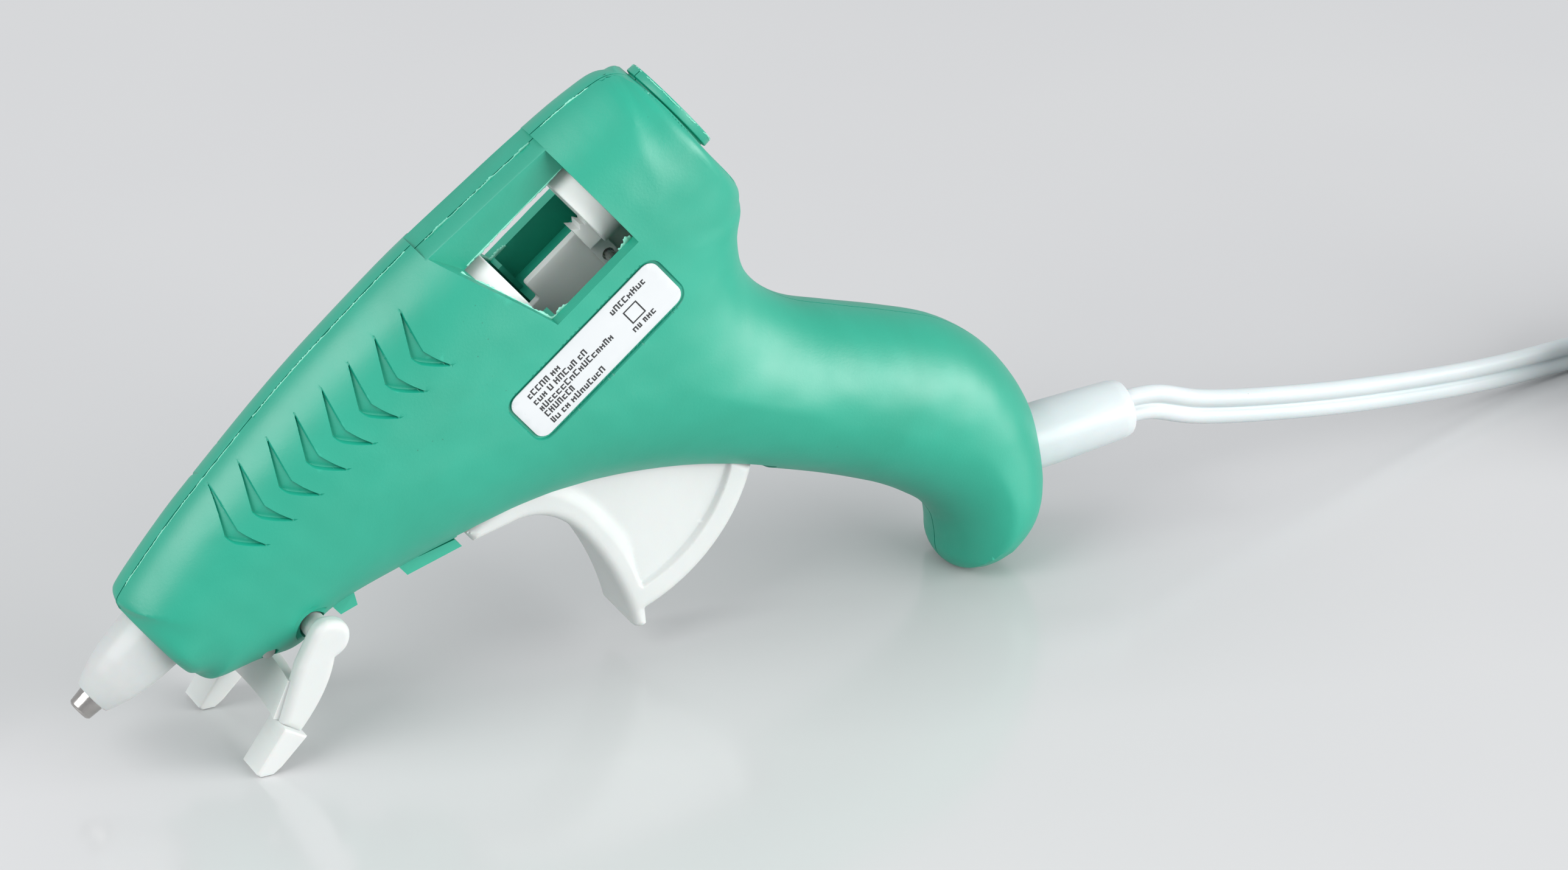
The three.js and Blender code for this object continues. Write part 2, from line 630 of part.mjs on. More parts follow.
// the web that joins the two arms: a bowed plate across the front
function standWeb() {
  const bow = new THREE.Shape()
  const half = STAND_ARM_Y[0] + 1
  bow.moveTo(-half, 0)
  bow.quadraticCurveTo(0, -4, half, 0)
  bow.lineTo(half, 2)
  bow.quadraticCurveTo(0, -2, -half, 2)
  bow.closePath()
  const length = 6
  const g = new THREE.ExtrudeGeometry(bow, { depth: length, bevelEnabled: false, curveSegments: 8 })
  const lean = Math.atan2(2.6, 5.9)
  return toManifold(g.rotateZ(Math.PI / 2).translate(0, 0, -length).rotateY(lean).translate(-4.2, 0, -6.3))
}

// ---------- lead, clamp and wires ----------
// a flat twin lead's section, standing on its edge
function leadSection() {
  const w = CORD_WIDTH / 2
  const t = CORD_THICKNESS / 2
  const quarter = [[0, w], [0.8 * t, w - 0.55], [t, w - t], [0.78 * t, 0], [t, t - w], [0.8 * t, 0.55 - w]]
  return outline([...quarter, ...quarter.map(([x, z]) => [-x, -z])])
}

function lead(points, steps) {
  const extrudePath = new THREE.CatmullRomCurve3(points)
  return new THREE.ExtrudeGeometry(leadSection(), { steps, extrudePath })
}

function strainRelief() {
  return latheX([
    [RELIEF.back, 0], [RELIEF.back, 5.7], [-5.6, 5.7], [-5.6, RELIEF.r], [2, RELIEF.r],
    [13.6, 4.5], [15, 4.1], [RELIEF.out, 3.2], [RELIEF.out, 0],
  ])
}

function leadWire(side) {
  const route = [
    [111.4, 1.4, -80.3], [108.8, 2.4, -74], [106, 5, -64], [101, 8.2, -50], [93, 8.5, -33], [82, 8.4, -19],
    [68, 8, -11.5], [60, 7.9, -10.8], [54, 6.6, -9.6], [50.5, 3.4, -7.8], [48, 2, -7.1],
  ]
  return tube(route.map(([x, y, z]) => new THREE.Vector3(x, side * y, z)), 0.85, 36, 6)
}

function crimp(side) {
  const barrel = ringX([[0, 1.8], [7, 1.8]], [[0, 1.3], [7, 1.3]], 12)
  return barrel.rotateY(0.07).translate(60.6, side * 7.95, -10.9)
}

// a two-blade plug, its cable end at the origin and its blades towards -x
function plugBody() {
  const { length, width, height } = PLUG
  const plan = new THREE.Shape()
  plan.moveTo(0, -3.4)
  plan.lineTo(0, 3.4)
  plan.quadraticCurveTo(-6, 4, -8, width / 2)
  plan.lineTo(-length, width / 2)
  plan.lineTo(-length, -width / 2)
  plan.lineTo(-8, -width / 2)
  plan.quadraticCurveTo(-6, -4, 0, -3.4)
  const across = new THREE.ExtrudeGeometry(plan, { depth: height, bevelEnabled: false, curveSegments: 6 })
  const side = roundedBox([-length, 0], [-height / 2 + 0.1, height / 2], 2.6)
  across.translate(0, 0, -height / 2)
  return toManifold(across).intersect(toManifold(slabY(side, [-width, width], 4)))
}

// the pocket in the plug's face that a blade is set into
function plugPocket(side) {
  const y = side * 6.35
  return toManifold(box([-PLUG.length - 1, -PLUG.length + 4.3], [y - 1, y + 1], [-3.4, 3.4]))
}

function plugBlade(side) {
  const blade = roundedBox([-PLUG.length - 15.9, -PLUG.length + 4], [-3.15, 3.15], 1.2)
  const g = slabY(blade, [-0.75, 0.75], 3)
  return g.translate(0, side * 6.35, 0)
}

// ---------- assembly ----------
const gun = new THREE.Group()
gun.rotation.y = -TILT
gun.position.set(TIP_X, 0, TIP_Z)

gun.add(mesh('shell_left', shell(-1), GREEN), mesh('shell_right', shell(1), GREEN))

SCREWS.forEach((at, i) => {
  const seat = headSeat(at) + 0.05
  const head = toManifold(barY(at, 2.1, [seat, seat + 1.6], 12))
  const shank = toManifold(barY(at, SCREW_R, [-5.5, seat + 0.5], 10))
  gun.add(mesh(`shell_screw_${i + 1}`, join(head, shank), STEEL))
})

gun.add(
  mesh('nozzle_tip', nozzleTip(), STEEL),
  mesh('nozzle_sleeve', nozzleSleeve(), SILICONE),
  mesh('melt_chamber', meltChamber(), ALUMINIUM),
  mesh('heating_element', heatingElement(), CERAMIC),
  mesh('heater_clip', heaterClip(), STEEL),
  mesh('feed_sleeve', feedSleeve(), SILICONE),
  mesh('stick_guide', stickGuide(), WHITE),
  mesh('trigger', trigger(), WHITE),
  mesh('trigger_pin', barY(TRIGGER_PIVOT, PIN_R, [-PIN_HALF_LENGTH, PIN_HALF_LENGTH]), STEEL),
  mesh('trigger_spring', triggerSpring(), STEEL),
  mesh('feed_carrier', feedCarrier(), WHITE),
  mesh('gripper_jaw', gripperJaw(), WHITE),
  mesh('jaw_pin', barY(JAW_PIN, 0.75, [-3.2, 1.5], 12), STEEL),
  mesh('label', slabY(roundedBox(LABEL.x, LABEL.z, LABEL.corner), [-12.05, -11.85], 3), PAPER),
  mesh('lead_wire_1', leadWire(-1), CLEAR_WHITE),
  mesh('lead_wire_2', leadWire(1), CLEAR_WHITE),
  mesh('crimp_1', crimp(-1), BRASS),
  mesh('crimp_2', crimp(1), BRASS),
)

// the stand hangs upright in the tilted gun
const standMesh = mesh('stand', stand(), WHITE)
standMesh.position.set(STAND_PIVOT[0], 0, STAND_PIVOT[1])
standMesh.rotation.y = TILT
gun.add(standMesh)

// the strain relief, the lead's inner end and its clamp share the relief's axis
const exit = new THREE.Group()
exit.position.set(RELIEF.at[0], 0, RELIEF.at[1])
exit.rotation.y = TILT - RELIEF.rise
gun.add(exit)
exit.add(mesh('strain_relief', strainRelief(), CLEAR_WHITE))
exit.add(mesh('cord_inner', box([-12.8, RELIEF.back - GAP], [-1.35, 1.35], [-2.7, 2.7]), CLEAR_WHITE))
exit.add(mesh('cord_clamp', box([-11.6, -8], [-3.4, -1.6], [-4.4, 4.4]), WHITE))

// ---------- the power lead outside, in the row frame ----------
function rowPoint(x, z) {
  return new THREE.Vector3(
    TIP_X + x * Math.cos(TILT) - z * Math.sin(TILT), 0, TIP_Z + x * Math.sin(TILT) + z * Math.cos(TILT))
}

// from the strain relief down to the floor and along it to the hank's outer turn
function cordRoute() {
  const start = rowPoint(...reliefAxis(RELIEF.out + 0.6))
  const first = start.clone().add(new THREE.Vector3(5, 0.1, -0.3))
  const along = [
    [96.5, 0.8, 15.3], [118, 3, 10.4], [140.8, 7, 5.9], [155.4, 9.3, 3.9], [166, 10.9, 3.1],
    [177, 11.9, 2.8],
  ]
  return [start, first, ...along.map((p) => new THREE.Vector3(...p))]
}

// from the top of the hank into the plug that lies on it
function tailRoute() {
  const along = [[22, -18.9, 15.3], [12, -12.4, 16.2], [4, -7, 17.9], [-4, -5.1, 18.6]]
  return along.map(([x, y, z]) => new THREE.Vector3(HANK.x + x, HANK.y + y, z))
}

// one turn's line round the hank for a fold of radius r: straight runs drawn together at their middle
function hankLoop(r, steps = 10) {
  const { halfRun, pinch } = HANK
  const run = Array.from({ length: steps + 1 }, (_, i) => {
    const x = halfRun * (2 * i / steps - 1)
    return [x, r - pinch * (1 + Math.cos(Math.PI * x / halfRun)) / 2]
  })
  const fold = Array.from({ length: steps - 1 }, (_, i) => {
    const angle = Math.PI * (i + 1) / steps
    return [halfRun + r * Math.sin(angle), r * Math.cos(angle)]
  })
  const half = [...run, ...fold]
  return [...half, ...half.map(([x, y]) => [-x, -y])]
}

// the solid that the hank's turns fill
function hankSolid() {
  const { r, x, y, bottom, top } = HANK
  const filled = (radius, z) => {
    const options = { depth: z[1] - z[0], bevelEnabled: false }
    const g = new THREE.ExtrudeGeometry(outline(hankLoop(radius)), options)
    return toManifold(g.translate(x, y, z[0]))
  }
  const whole = filled(r[1] + CORD_THICKNESS / 2, [bottom, top])
  return whole.subtract(filled(r[0] - CORD_THICKNESS / 2, [bottom - 1, top + 1]))
}

// the band round the hank's middle
function hankTie() {
  const half = HANK.r[1] - HANK.pinch + CORD_THICKNESS / 2 + 2 * GAP
  const t = TIE.thickness
  const band = roundedBox([-half - t, half + t], [0, HANK.top + GAP + t], 1.2)
  band.holes.push(roundedBox([-half, half], [t, HANK.top + GAP], 0.6))
  const g = slabY(band, [-TIE.width / 2, TIE.width / 2], 3)
  return g.rotateZ(Math.PI / 2).translate(HANK.x, HANK.y, 0)
}

const glueGun = new THREE.Group()
glueGun.add(gun)
glueGun.add(mesh('cord', lead(cordRoute(), 34), CLEAR_WHITE))
glueGun.add(mesh('cord_hank', hankSolid(), CLEAR_WHITE))
glueGun.add(mesh('cord_tie', hankTie(), WHITE))
glueGun.add(mesh('cord_tail', lead(tailRoute(), 6), CLEAR_WHITE))
const plug = new THREE.Group()
plug.position.set(PLUG.x, PLUG.y, PLUG.z)
glueGun.add(plug)
plug.add(mesh('plug_body', cut(plugBody(), ...[-1, 1].map(plugPocket)), CLEAR_WHITE))
plug.add(mesh('plug_blade_1', plugBlade(-1), BRASS), mesh('plug_blade_2', plugBlade(1), BRASS))
export default glueGun
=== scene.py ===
import math

import bpy
import numpy as np
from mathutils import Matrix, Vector
from mathutils.geometry import delaunay_2d_cdt


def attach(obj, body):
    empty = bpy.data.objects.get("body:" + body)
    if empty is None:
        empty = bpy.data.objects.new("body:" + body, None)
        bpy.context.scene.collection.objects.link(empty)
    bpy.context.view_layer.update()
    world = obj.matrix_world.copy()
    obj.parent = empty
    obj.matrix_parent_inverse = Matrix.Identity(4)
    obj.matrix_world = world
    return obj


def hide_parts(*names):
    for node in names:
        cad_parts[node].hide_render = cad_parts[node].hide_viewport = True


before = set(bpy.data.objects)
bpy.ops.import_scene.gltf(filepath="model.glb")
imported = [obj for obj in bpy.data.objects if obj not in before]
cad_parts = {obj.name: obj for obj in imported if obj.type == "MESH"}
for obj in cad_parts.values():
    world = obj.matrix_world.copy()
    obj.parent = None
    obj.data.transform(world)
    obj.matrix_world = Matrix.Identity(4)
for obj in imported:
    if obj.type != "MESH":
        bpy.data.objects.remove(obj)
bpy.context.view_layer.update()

# ---------- the gun's own frame: millimetres, x from the nozzle to the rear, z up ----------
TILT = math.radians(38.76)
STAND_PIVOT = (31.3, -13.4)
STAND_HEIGHT = 18.6
TIP_X = -82.87
TIP_Z = STAND_HEIGHT - STAND_PIVOT[0] * math.sin(TILT) - STAND_PIVOT[1] * math.cos(TILT)
SEAM = 0.1  # from the middle plane to each housing half


def turned(points, angle, at):
    """Points turned about the y axis, x towards z, and moved to (x, z)."""
    x, y, z = np.asarray(points, float).T
    c, s = math.cos(angle), math.sin(angle)
    return np.column_stack([at[0] + x * c - z * s, y, at[1] + x * s + z * c])


def row(points):
    """Points of the gun's frame, in millimetres, in the row frame, in metres."""
    return turned(points, TILT, (TIP_X, TIP_Z)) / 1000


def upright(points):
    """Points round the stand's pivot, drawn as it stands, in the row frame, in metres."""
    return np.asarray(points, float) / 1000 + row([(STAND_PIVOT[0], 0, STAND_PIVOT[1])])[0]


def aimed(obj, place, target):
    """An object put in the scene at a place, facing a target."""
    obj.location = place
    obj.rotation_mode = "QUATERNION"
    obj.rotation_quaternion = (target - Vector(place)).to_track_quat("-Z", "Y")
    bpy.context.scene.collection.objects.link(obj)


# ---------- camera ----------
AZIMUTH, ELEVATION, DISTANCE = math.radians(-26.7), math.radians(27.5), 1.0
target = Vector((0.0270, 0, 0.0271))
back = Vector((
    math.sin(AZIMUTH) * math.cos(ELEVATION), -math.cos(AZIMUTH) * math.cos(ELEVATION), math.sin(ELEVATION)))
camera_data = bpy.data.cameras.new("camera")
camera_data.lens = 159.2
camera_data.sensor_width = 36
camera_data.clip_start = 0.05
camera = bpy.data.objects.new("camera", camera_data)
aimed(camera, target + back * DISTANCE, target)
bpy.context.scene.camera = camera


# ---------- mesh helpers: a part is (points, faces) ----------
def new_mesh(name, points, faces):
    mesh = bpy.data.meshes.new(name)
    mesh.from_pydata([tuple(p) for p in points], [], [tuple(int(i) for i in f) for f in faces])
    obj = bpy.data.objects.new(name, mesh)
    bpy.context.scene.collection.objects.link(obj)
    return obj


def mesh_piece(name, points, faces, material, body, sharp):
    """A mesh from points in the row frame, in metres; edges over sharp degrees stay crisp."""
    obj = new_mesh(name, points, faces)
    obj.data.validate()
    obj.data.materials.append(material)
    obj.data.shade_smooth()
    if sharp:
        obj.data.set_sharp_from_angle(angle=math.radians(sharp))
    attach(obj, body)
    return obj


def merge(*parts):
    """Several (points, faces) as one."""
    points, faces, start = [], [], 0
    for p, f in parts:
        points.append(np.asarray(p, float))
        faces.extend([tuple(i + start for i in face) for face in f])
        start += len(p)
    return np.concatenate(points), faces


def facing_out(part):
    """A closed part with its faces turned outwards."""
    points, faces = np.asarray(part[0], float), part[1]
    ways = [(f[i - 1], f[i]) for f in faces for i in range(len(f))]
    if len(set(ways)) != len(ways):
        raise ValueError("the faces of a part don't all turn the same way")
    volume = sum(
        float(np.dot(points[f[0]], np.cross(points[f[i]], points[f[i + 1]])))
        for f in faces for i in range(1, len(f) - 1))
    return (points, faces) if volume > 0 else (points, [tuple(f)[::-1] for f in faces])


def in_turn(work, p, count=3000):
    """What work says of each point, a few at a time."""
    return np.concatenate([work(p[i:i + count, None, :]) for i in range(0, max(1, len(p)), count)])


def polyline_distance(p, line):
    """How far each point is from a polyline, all in the plane."""
    a, b = line[:-1], line[1:]
    d = b - a
    size = np.maximum((d * d).sum(1), 1e-12)

    def nearest(q):
        t = np.clip(((q - a) * d).sum(2) / size, 0, 1)
        return np.sqrt((((q - a) - t[:, :, None] * d) ** 2).sum(2).min(1))

    return in_turn(nearest, p)


def inside(p, loop):
    """Whether each point is inside a closed outline."""
    (ax, az), (bx, bz) = loop.T, np.roll(loop, -1, 0).T
    rise = np.where(bz == az, 1e-12, bz - az)

    def odd_crossings(q):
        x, z = q[:, :, 0], q[:, :, 1]
        crosses = (az > z) != (bz > z)
        return (crosses & (x < ax + (z - az) * (bx - ax) / rise)).sum(1) % 2 == 1

    return in_turn(odd_crossings, p)


def depth_in(p, loop):
    """The distance from a closed outline, more than 0 inside it."""
    d = polyline_distance(p, np.vstack([loop, loop[:1]]))
    return np.where(inside(p, loop), d, -d)


def resample(loop, step):
    """A closed outline with no two points further apart than a step."""
    loop = np.asarray(loop, float)
    out = []
    for a, b in zip(loop, np.roll(loop, -1, 0)):
        n = max(1, int(math.ceil(np.linalg.norm(b - a) / step)))
        out.extend(a + (b - a) * k / n for k in range(n))
    return np.array(out)


def turning(loop):
    """The outline, running anticlockwise."""
    x, z = loop[:, 0], loop[:, 1]
    area = (x * np.roll(z, -1) - np.roll(x, -1) * z).sum()
    return loop if area > 0 else loop[::-1]


def rows_inside(loop, depths, step):
    """Points in rows at given depths inside a closed outline."""
    base = turning(resample(loop, step))
    ahead = np.roll(base, -1, 0) - np.roll(base, 1, 0)
    length = np.maximum(np.linalg.norm(ahead, axis=1), 1e-9)
    normal = np.column_stack([-ahead[:, 1], ahead[:, 0]]) / length[:, None]
    out = []
    for depth in depths:
        p = base + normal * depth
        near = np.abs(depth_in(p, loop) - depth) < 0.12 * abs(depth) + 0.012
        out.append(p[near])
    return np.concatenate(out)


def hex_grid(low, high, step):
    row_share = 0.866
    xs = np.arange(low[0], high[0], step)
    zs = np.arange(low[1], high[1], step * row_share)
    gx, gz = np.meshgrid(xs, zs)
    gx = gx + (np.arange(len(zs)) % 2)[:, None] * step / 2
    return np.column_stack([gx.ravel(), gz.ravel()])


def triangulate(loop, points, closeness=0.03):
    """Triangles between a closed loop and loose points, over the loop's whole convex cover."""
    seen = {(round(x / closeness), round(z / closeness)) for x, z in loop}
    loose = []
    for x, z in points:
        key = (round(x / closeness), round(z / closeness))
        if key not in seen:
            seen.add(key)
            loose.append((x, z))
    corners = [Vector((float(x), float(z))) for x, z in [*loop, *loose]]
    edges = [(i, (i + 1) % len(loop)) for i in range(len(loop))]
    verts, _, faces, *_ = delaunay_2d_cdt(corners, edges, [], 0, 1e-5)
    return np.array([(v.x, v.y) for v in verts]), np.array([f for f in faces if len(f) == 3])


def at_depth(line, y):
    """Points of x-z at a height y, one for all or one each."""
    return np.column_stack([line[:, 0], np.ones(len(line)) * y, line[:, 1]])


def close_sides(flat, faces, top, bottom, side=1):
    """A closed solid between two heights over a triangulated area; heights are along y."""
    used = np.unique(faces)
    number = -np.ones(len(flat), int)
    number[used] = np.arange(len(used))
    faces = number[faces]
    flat, top, bottom = flat[used], top[used], bottom[used]
    a, b, c = (flat[faces[:, i]] for i in range(3))
    area = (b[:, 0] - a[:, 0]) * (c[:, 1] - a[:, 1]) - (b[:, 1] - a[:, 1]) * (c[:, 0] - a[:, 0])
    faces = np.where((area > 0)[:, None], faces, faces[:, ::-1])
    n = len(flat)
    points = np.vstack([at_depth(flat, side * top), at_depth(flat, side * bottom)])
    upper = faces[:, ::-1] if side > 0 else faces
    lower = (faces if side > 0 else faces[:, ::-1]) + n
    ways = dict.fromkeys((f[i], f[(i + 1) % 3]) for f in upper for i in range(3))
    walls = [(j, i, i + n, j + n) for i, j in ways if (j, i) not in ways]
    return facing_out((points, [tuple(f) for f in (*upper, *lower)] + walls))


def rounded_drop(depth, radius):
    """How far a rounded edge has fallen away at a depth inside it."""
    d = np.clip(depth, 0, radius)
    return radius - np.sqrt(np.maximum(radius * radius - (radius - d) ** 2, 0))


def smooth(t):
    """An eased step from 0 to 1."""
    s = np.clip(t, 0, 1)
    return s * s * (3 - 2 * s)


def plate(loop, y, edge, step, fine, panel=None):
    """A plate with rounded edges: an outline in x-z, thickness along y.

    panel is (outline, depth, slope): an area sunk into both faces, with a step down as wide as slope says.
    """
    loop = turning(resample(loop, fine))
    points = [rows_inside(loop, edge * np.array([0.02, 0.08, 0.2, 0.4, 0.68, 1.0]), fine)]
    if panel:
        rows = rows_inside(panel[0], (-0.1, 0.08, 0.25, 0.45, 0.66, 0.82, 1.3, 1.8), fine)
        points.append(rows[depth_in(rows, loop) > 0.05])
    grid = hex_grid(loop.min(0), loop.max(0), step)
    points.append(grid[depth_in(grid, loop) > edge + 0.3 * step])
    flat, faces = triangulate(loop, np.concatenate(points))
    faces = faces[inside(flat[faces].mean(1), loop)]
    drop = rounded_drop(depth_in(flat, loop), edge)
    if panel:
        outline, amount, slope = panel
        drop = drop + amount * smooth(depth_in(flat, outline) / slope(flat))
    return close_sides(flat, faces, y[1] - drop, y[0] + drop)


def bend(a, b, c, steps=10):
    """A curve from a to c pulled towards b, without its first point."""
    t = np.linspace(0, 1, steps + 1)[1:, None]
    a, b, c = (np.array(p, float) for p in (a, b, c))
    return [tuple(p) for p in (1 - t) ** 2 * a + 2 * t * (1 - t) * b + t * t * c]


def soften(profile, radius):
    """A profile with its corners rounded."""
    p = np.asarray(profile, float)
    out = [p[0]]
    for a, b, c in zip(p[:-2], p[1:-1], p[2:]):
        la, lc = np.linalg.norm(a - b), np.linalg.norm(c - b)
        r = min(radius, la * 0.45, lc * 0.45)
        start = b + (a - b) / la * r
        out += [start, *bend(start, b, b + (c - b) / lc * r, 4)]
    out.append(p[-1])
    return np.array(out)


def revolve(profile, sides, radius, arc=(0, 2 * math.pi)):
    """A solid of revolution about x from a closed profile of (x, r) points, its corners rounded."""
    p = soften([profile[-1], *profile, profile[0]], radius)[1:-1]
    full = abs(arc[1] - arc[0] - 2 * math.pi) < 1e-6
    n = sides if full else sides + 1
    angle = arc[0] + (arc[1] - arc[0]) * np.arange(n) / sides
    points = np.array([(x, r * math.sin(t), r * math.cos(t)) for t in angle for x, r in p])
    m, faces = len(p), []
    for i in range(sides):
        for k in range(m):
            a, b = i * m + k, i * m + (k + 1) % m
            c, d = ((i + 1) % n) * m + (k + 1) % m, ((i + 1) % n) * m + k
            faces.append((a, d, c, b))
    if not full:
        faces.append(tuple(range(m)))
        faces.append(tuple(range((n - 1) * m + m - 1, (n - 1) * m - 1, -1)))
    return facing_out((points, faces))


def swept(path, section, sideways):
    """A tube of a section along a path; sideways gives the section's first direction at each point."""
    path = np.asarray(path, float)
    ahead = np.gradient(path, axis=0)
    ahead /= np.linalg.norm(ahead, axis=1)[:, None]
    first = np.asarray(sideways, float) * np.ones_like(path)
    first = first - (first * ahead).sum(1)[:, None] * ahead
    first /= np.linalg.norm(first, axis=1)[:, None]
    second = np.cross(ahead, first)
    m = len(section)
    points = (path[:, None, :] + section[None, :, 0, None] * first[:, None, :]
              + section[None, :, 1, None] * second[:, None, :]).reshape(-1, 3)
    faces = []
    for i in range(len(path) - 1):
        for k in range(m):
            faces.append((i * m + k, i * m + (k + 1) % m, (i + 1) * m + (k + 1) % m, (i + 1) * m + k))
    faces.append(tuple(range(m - 1, -1, -1)))
    faces.append(tuple((len(path) - 1) * m + k for k in range(m)))
    return points, faces


def spline(points, t):
    """The centripetal Catmull-Rom curve through points, at section numbers t."""
    p = np.asarray(points, float)
    n = len(p)
    t = np.clip(np.asarray(t, float), 0, n - 1)
    i = np.minimum(t.astype(int), n - 2)
    w = (t - i)[:, None]
    padded = np.vstack([2 * p[0] - p[1], p, 2 * p[-1] - p[-2]])
    p0, p1, p2, p3 = padded[i], padded[i + 1], padded[i + 2], padded[i + 3]
    d0, d1, d2 = (np.maximum(np.linalg.norm(b - a, axis=1), 1e-8)[:, None] ** 0.5
                  for a, b in ((p0, p1), (p1, p2), (p2, p3)))
    t1 = ((p1 - p0) / d0 - (p2 - p0) / (d0 + d1) + (p2 - p1) / d1) * d1
    t2 = ((p2 - p1) / d1 - (p3 - p1) / (d1 + d2) + (p3 - p2) / d2) * d1
    square, cube = 3 * (p2 - p1) - 2 * t1 - t2, 2 * (p1 - p2) + t1 + t2
    return p1 + t1 * w + square * w ** 2 + cube * w ** 3


def evenly(points, step):
    """A line's points again, evenly spaced along it."""
    along = np.concatenate([[0], np.cumsum(np.linalg.norm(np.diff(points, axis=0), axis=1))])
    at = np.linspace(0, along[-1], int(along[-1] / step) + 2)
    return np.column_stack([np.interp(at, along, points[:, k]) for k in range(points.shape[1])])


# ---------- materials ----------
class Nodes:
    """Short ways to add shader nodes."""

    def __init__(self, name, base, roughness, **sockets):
        self.material = bpy.data.materials.new(name)
        self.material.use_nodes = True
        self.tree = self.material.node_tree
        self.shader = self.tree.nodes["Principled BSDF"]
        self.shader.inputs["Base Color"].default_value = (*base, 1)
        self.shader.inputs["Roughness"].default_value = roughness
        for socket, value in sockets.items():
            self.shader.inputs[socket.replace("_", " ")].default_value = value
        self.place = self.tree.nodes.new("ShaderNodeTexCoord").outputs["Object"]

    def node(self, kind, **inputs):
        """A new shader node; each input is given a number, a colour or another node's output."""
        made = self.tree.nodes.new("ShaderNode" + kind)
        for name, value in inputs.items():
            self.feed(made.inputs[name.replace("_", " ")], value)
        return made

    def feed(self, socket, value):
        if isinstance(value, bpy.types.NodeSocket):
            self.tree.links.new(value, socket)
        else:
            socket.default_value = value

    def noise(self, scale, detail=3.0, roughness=0.5, distortion=0.0):
        return self.node(
            "TexNoise", Vector=self.place, Scale=scale, Detail=detail, Roughness=roughness,
            Distortion=distortion).outputs["Fac"]

    def spots(self, scale, low, high):
        """1 on small scattered dots and 0 between them."""
        dots = self.node("TexVoronoi", Vector=self.place, Scale=scale)
        return self.ramp(dots.outputs["Distance"], low, high, 1, 0)

    def ramp(self, value, low, high, start=0.0, end=1.0):
        """A value from low to high as one from start to end."""
        return self.node(
            "MapRange", Value=value, From_Min=low, From_Max=high, To_Min=start,
            To_Max=end).outputs["Result"]

    def times(self, a, b):
        product = self.node("Math")
        product.operation = "MULTIPLY"
        self.feed(product.inputs[0], a)
        self.feed(product.inputs[1], b)
        return product.outputs[0]

    def blend(self, share, first, second):
        """Colour first where share is 0, second where it is 1; either may be a socket."""
        mix = self.node("Mix", Factor=share)
        mix.data_type = "RGBA"
        for name, value in (("A", first), ("B", second)):
            socket = [s for s in mix.inputs if s.name == name and s.type == "RGBA"][0]
            self.feed(socket, (*value, 1) if isinstance(value, tuple) else value)
        return [s for s in mix.outputs if s.type == "RGBA"][0]

    def edges(self, most):
        """0 on flat ground, rising to most along the outer edges of the shape."""
        return self.ramp(self.node("NewGeometry").outputs["Pointiness"], 0.53, 0.62, 0, most)

    def surface(self, colour, roughness, bumps, distance):
        """Gives the shader its colour, roughness and bumps: (height, strength), one after another."""
        normal = {}
        for height, strength in bumps:
            bump = self.node("Bump", Height=height, Strength=strength, Distance=distance, **normal)
            normal = {"Normal": bump.outputs["Normal"]}
        for name, value in {"Base Color": colour, "Roughness": roughness, **normal}.items():
            self.tree.links.new(value, self.shader.inputs[name])
        return self.material


def linear(r, g, b):
    """Screen colours from 0 to 255 as the linear ones that a shader takes."""
    shares = [c / 255 for c in (r, g, b)]
    return tuple(s / 12.92 if s <= 0.04045 else ((s + 0.055) / 1.055) ** 2.4 for s in shares)


def moulded(name, base, light, dark, roughness, grain=0.25, **sockets):
    """Moulded plastic: faint flow marks, a fine grain, small specks, and paler worn edges.

    base, light and dark are screen colours from 0 to 255.
    """
    base, light, dark = (linear(*c) for c in (base, light, dark))
    m = Nodes(name, base, roughness, **sockets)
    flow = m.ramp(m.noise(38, 4, 0.55, 0.6), 0.3, 0.72)
    body = m.blend(flow, dark, light)
    speck = m.times(m.spots(520, 0.03, 0.07), m.ramp(m.noise(60), 0.6, 0.66))
    marked = m.blend(speck, body, tuple(c * 0.6 for c in dark))
    worn = tuple(min(1, c * 1.25 + 0.02) for c in light)
    return m.surface(
        m.blend(m.edges(0.35), marked, worn),
        m.ramp(m.noise(90, 5, 0.6), 0.25, 0.75, roughness - 0.05, roughness + 0.07),
        [(m.noise(2600, 3, 0.6), grain), (m.noise(160, 3), grain * 0.6)], 0.00006)


def metal(name, base, roughness):
    """Worked metal: uneven colour and polish, and a fine grain."""
    m = Nodes(name, base, roughness, Metallic=1.0)
    return m.surface(
        m.blend(m.ramp(m.noise(240, 5, 0.6), 0.3, 0.7), tuple(c * 0.8 for c in base), base),
        m.ramp(m.noise(420, 6, 0.6), 0.3, 0.7, roughness - 0.07, roughness + 0.12),
        [(m.noise(900, 4, 0.6), 0.3)], 0.00005)


GREEN = moulded(
    "mint_plastic", (16, 152, 125), (22, 157, 130), (12, 146, 119), 0.41,
    Specular_IOR_Level=0.74)
FLASH = moulded(
    "flash_plastic", (125, 208, 184), (150, 218, 198), (96, 196, 168), 0.6)
WHITE = moulded(
    "white_nylon", (206, 209, 207), (210, 213, 211), (200, 204, 202), 0.42, 0.15,
    Subsurface_Weight=0.15, Subsurface_Scale=0.002)
# The same white nylon as the trigger and stand, painted brighter: its paler colour is painted light on the
# guide, carrier and jaw seen inside the window.
PAINTED_BRIGHT_WHITE = moulded(
    "white_nylon_painted_bright", (246, 247, 245), (248, 249, 247), (240, 242, 239), 0.45, 0.12,
    Subsurface_Weight=0.1, Subsurface_Scale=0.002)
SLEEVE = moulded(
    "milky_silicone", (190, 194, 193), (196, 200, 199), (184, 188, 187), 0.34, 0.1,
    Subsurface_Weight=0.3, Subsurface_Scale=0.003)
VINYL = moulded(
    "soft_white_pvc", (197, 206, 207), (204, 211, 212), (190, 200, 201), 0.36, 0.12,
    Subsurface_Weight=0.25, Subsurface_Scale=0.002)
NICKEL = metal("plated_metal", (0.5, 0.48, 0.46), 0.17)
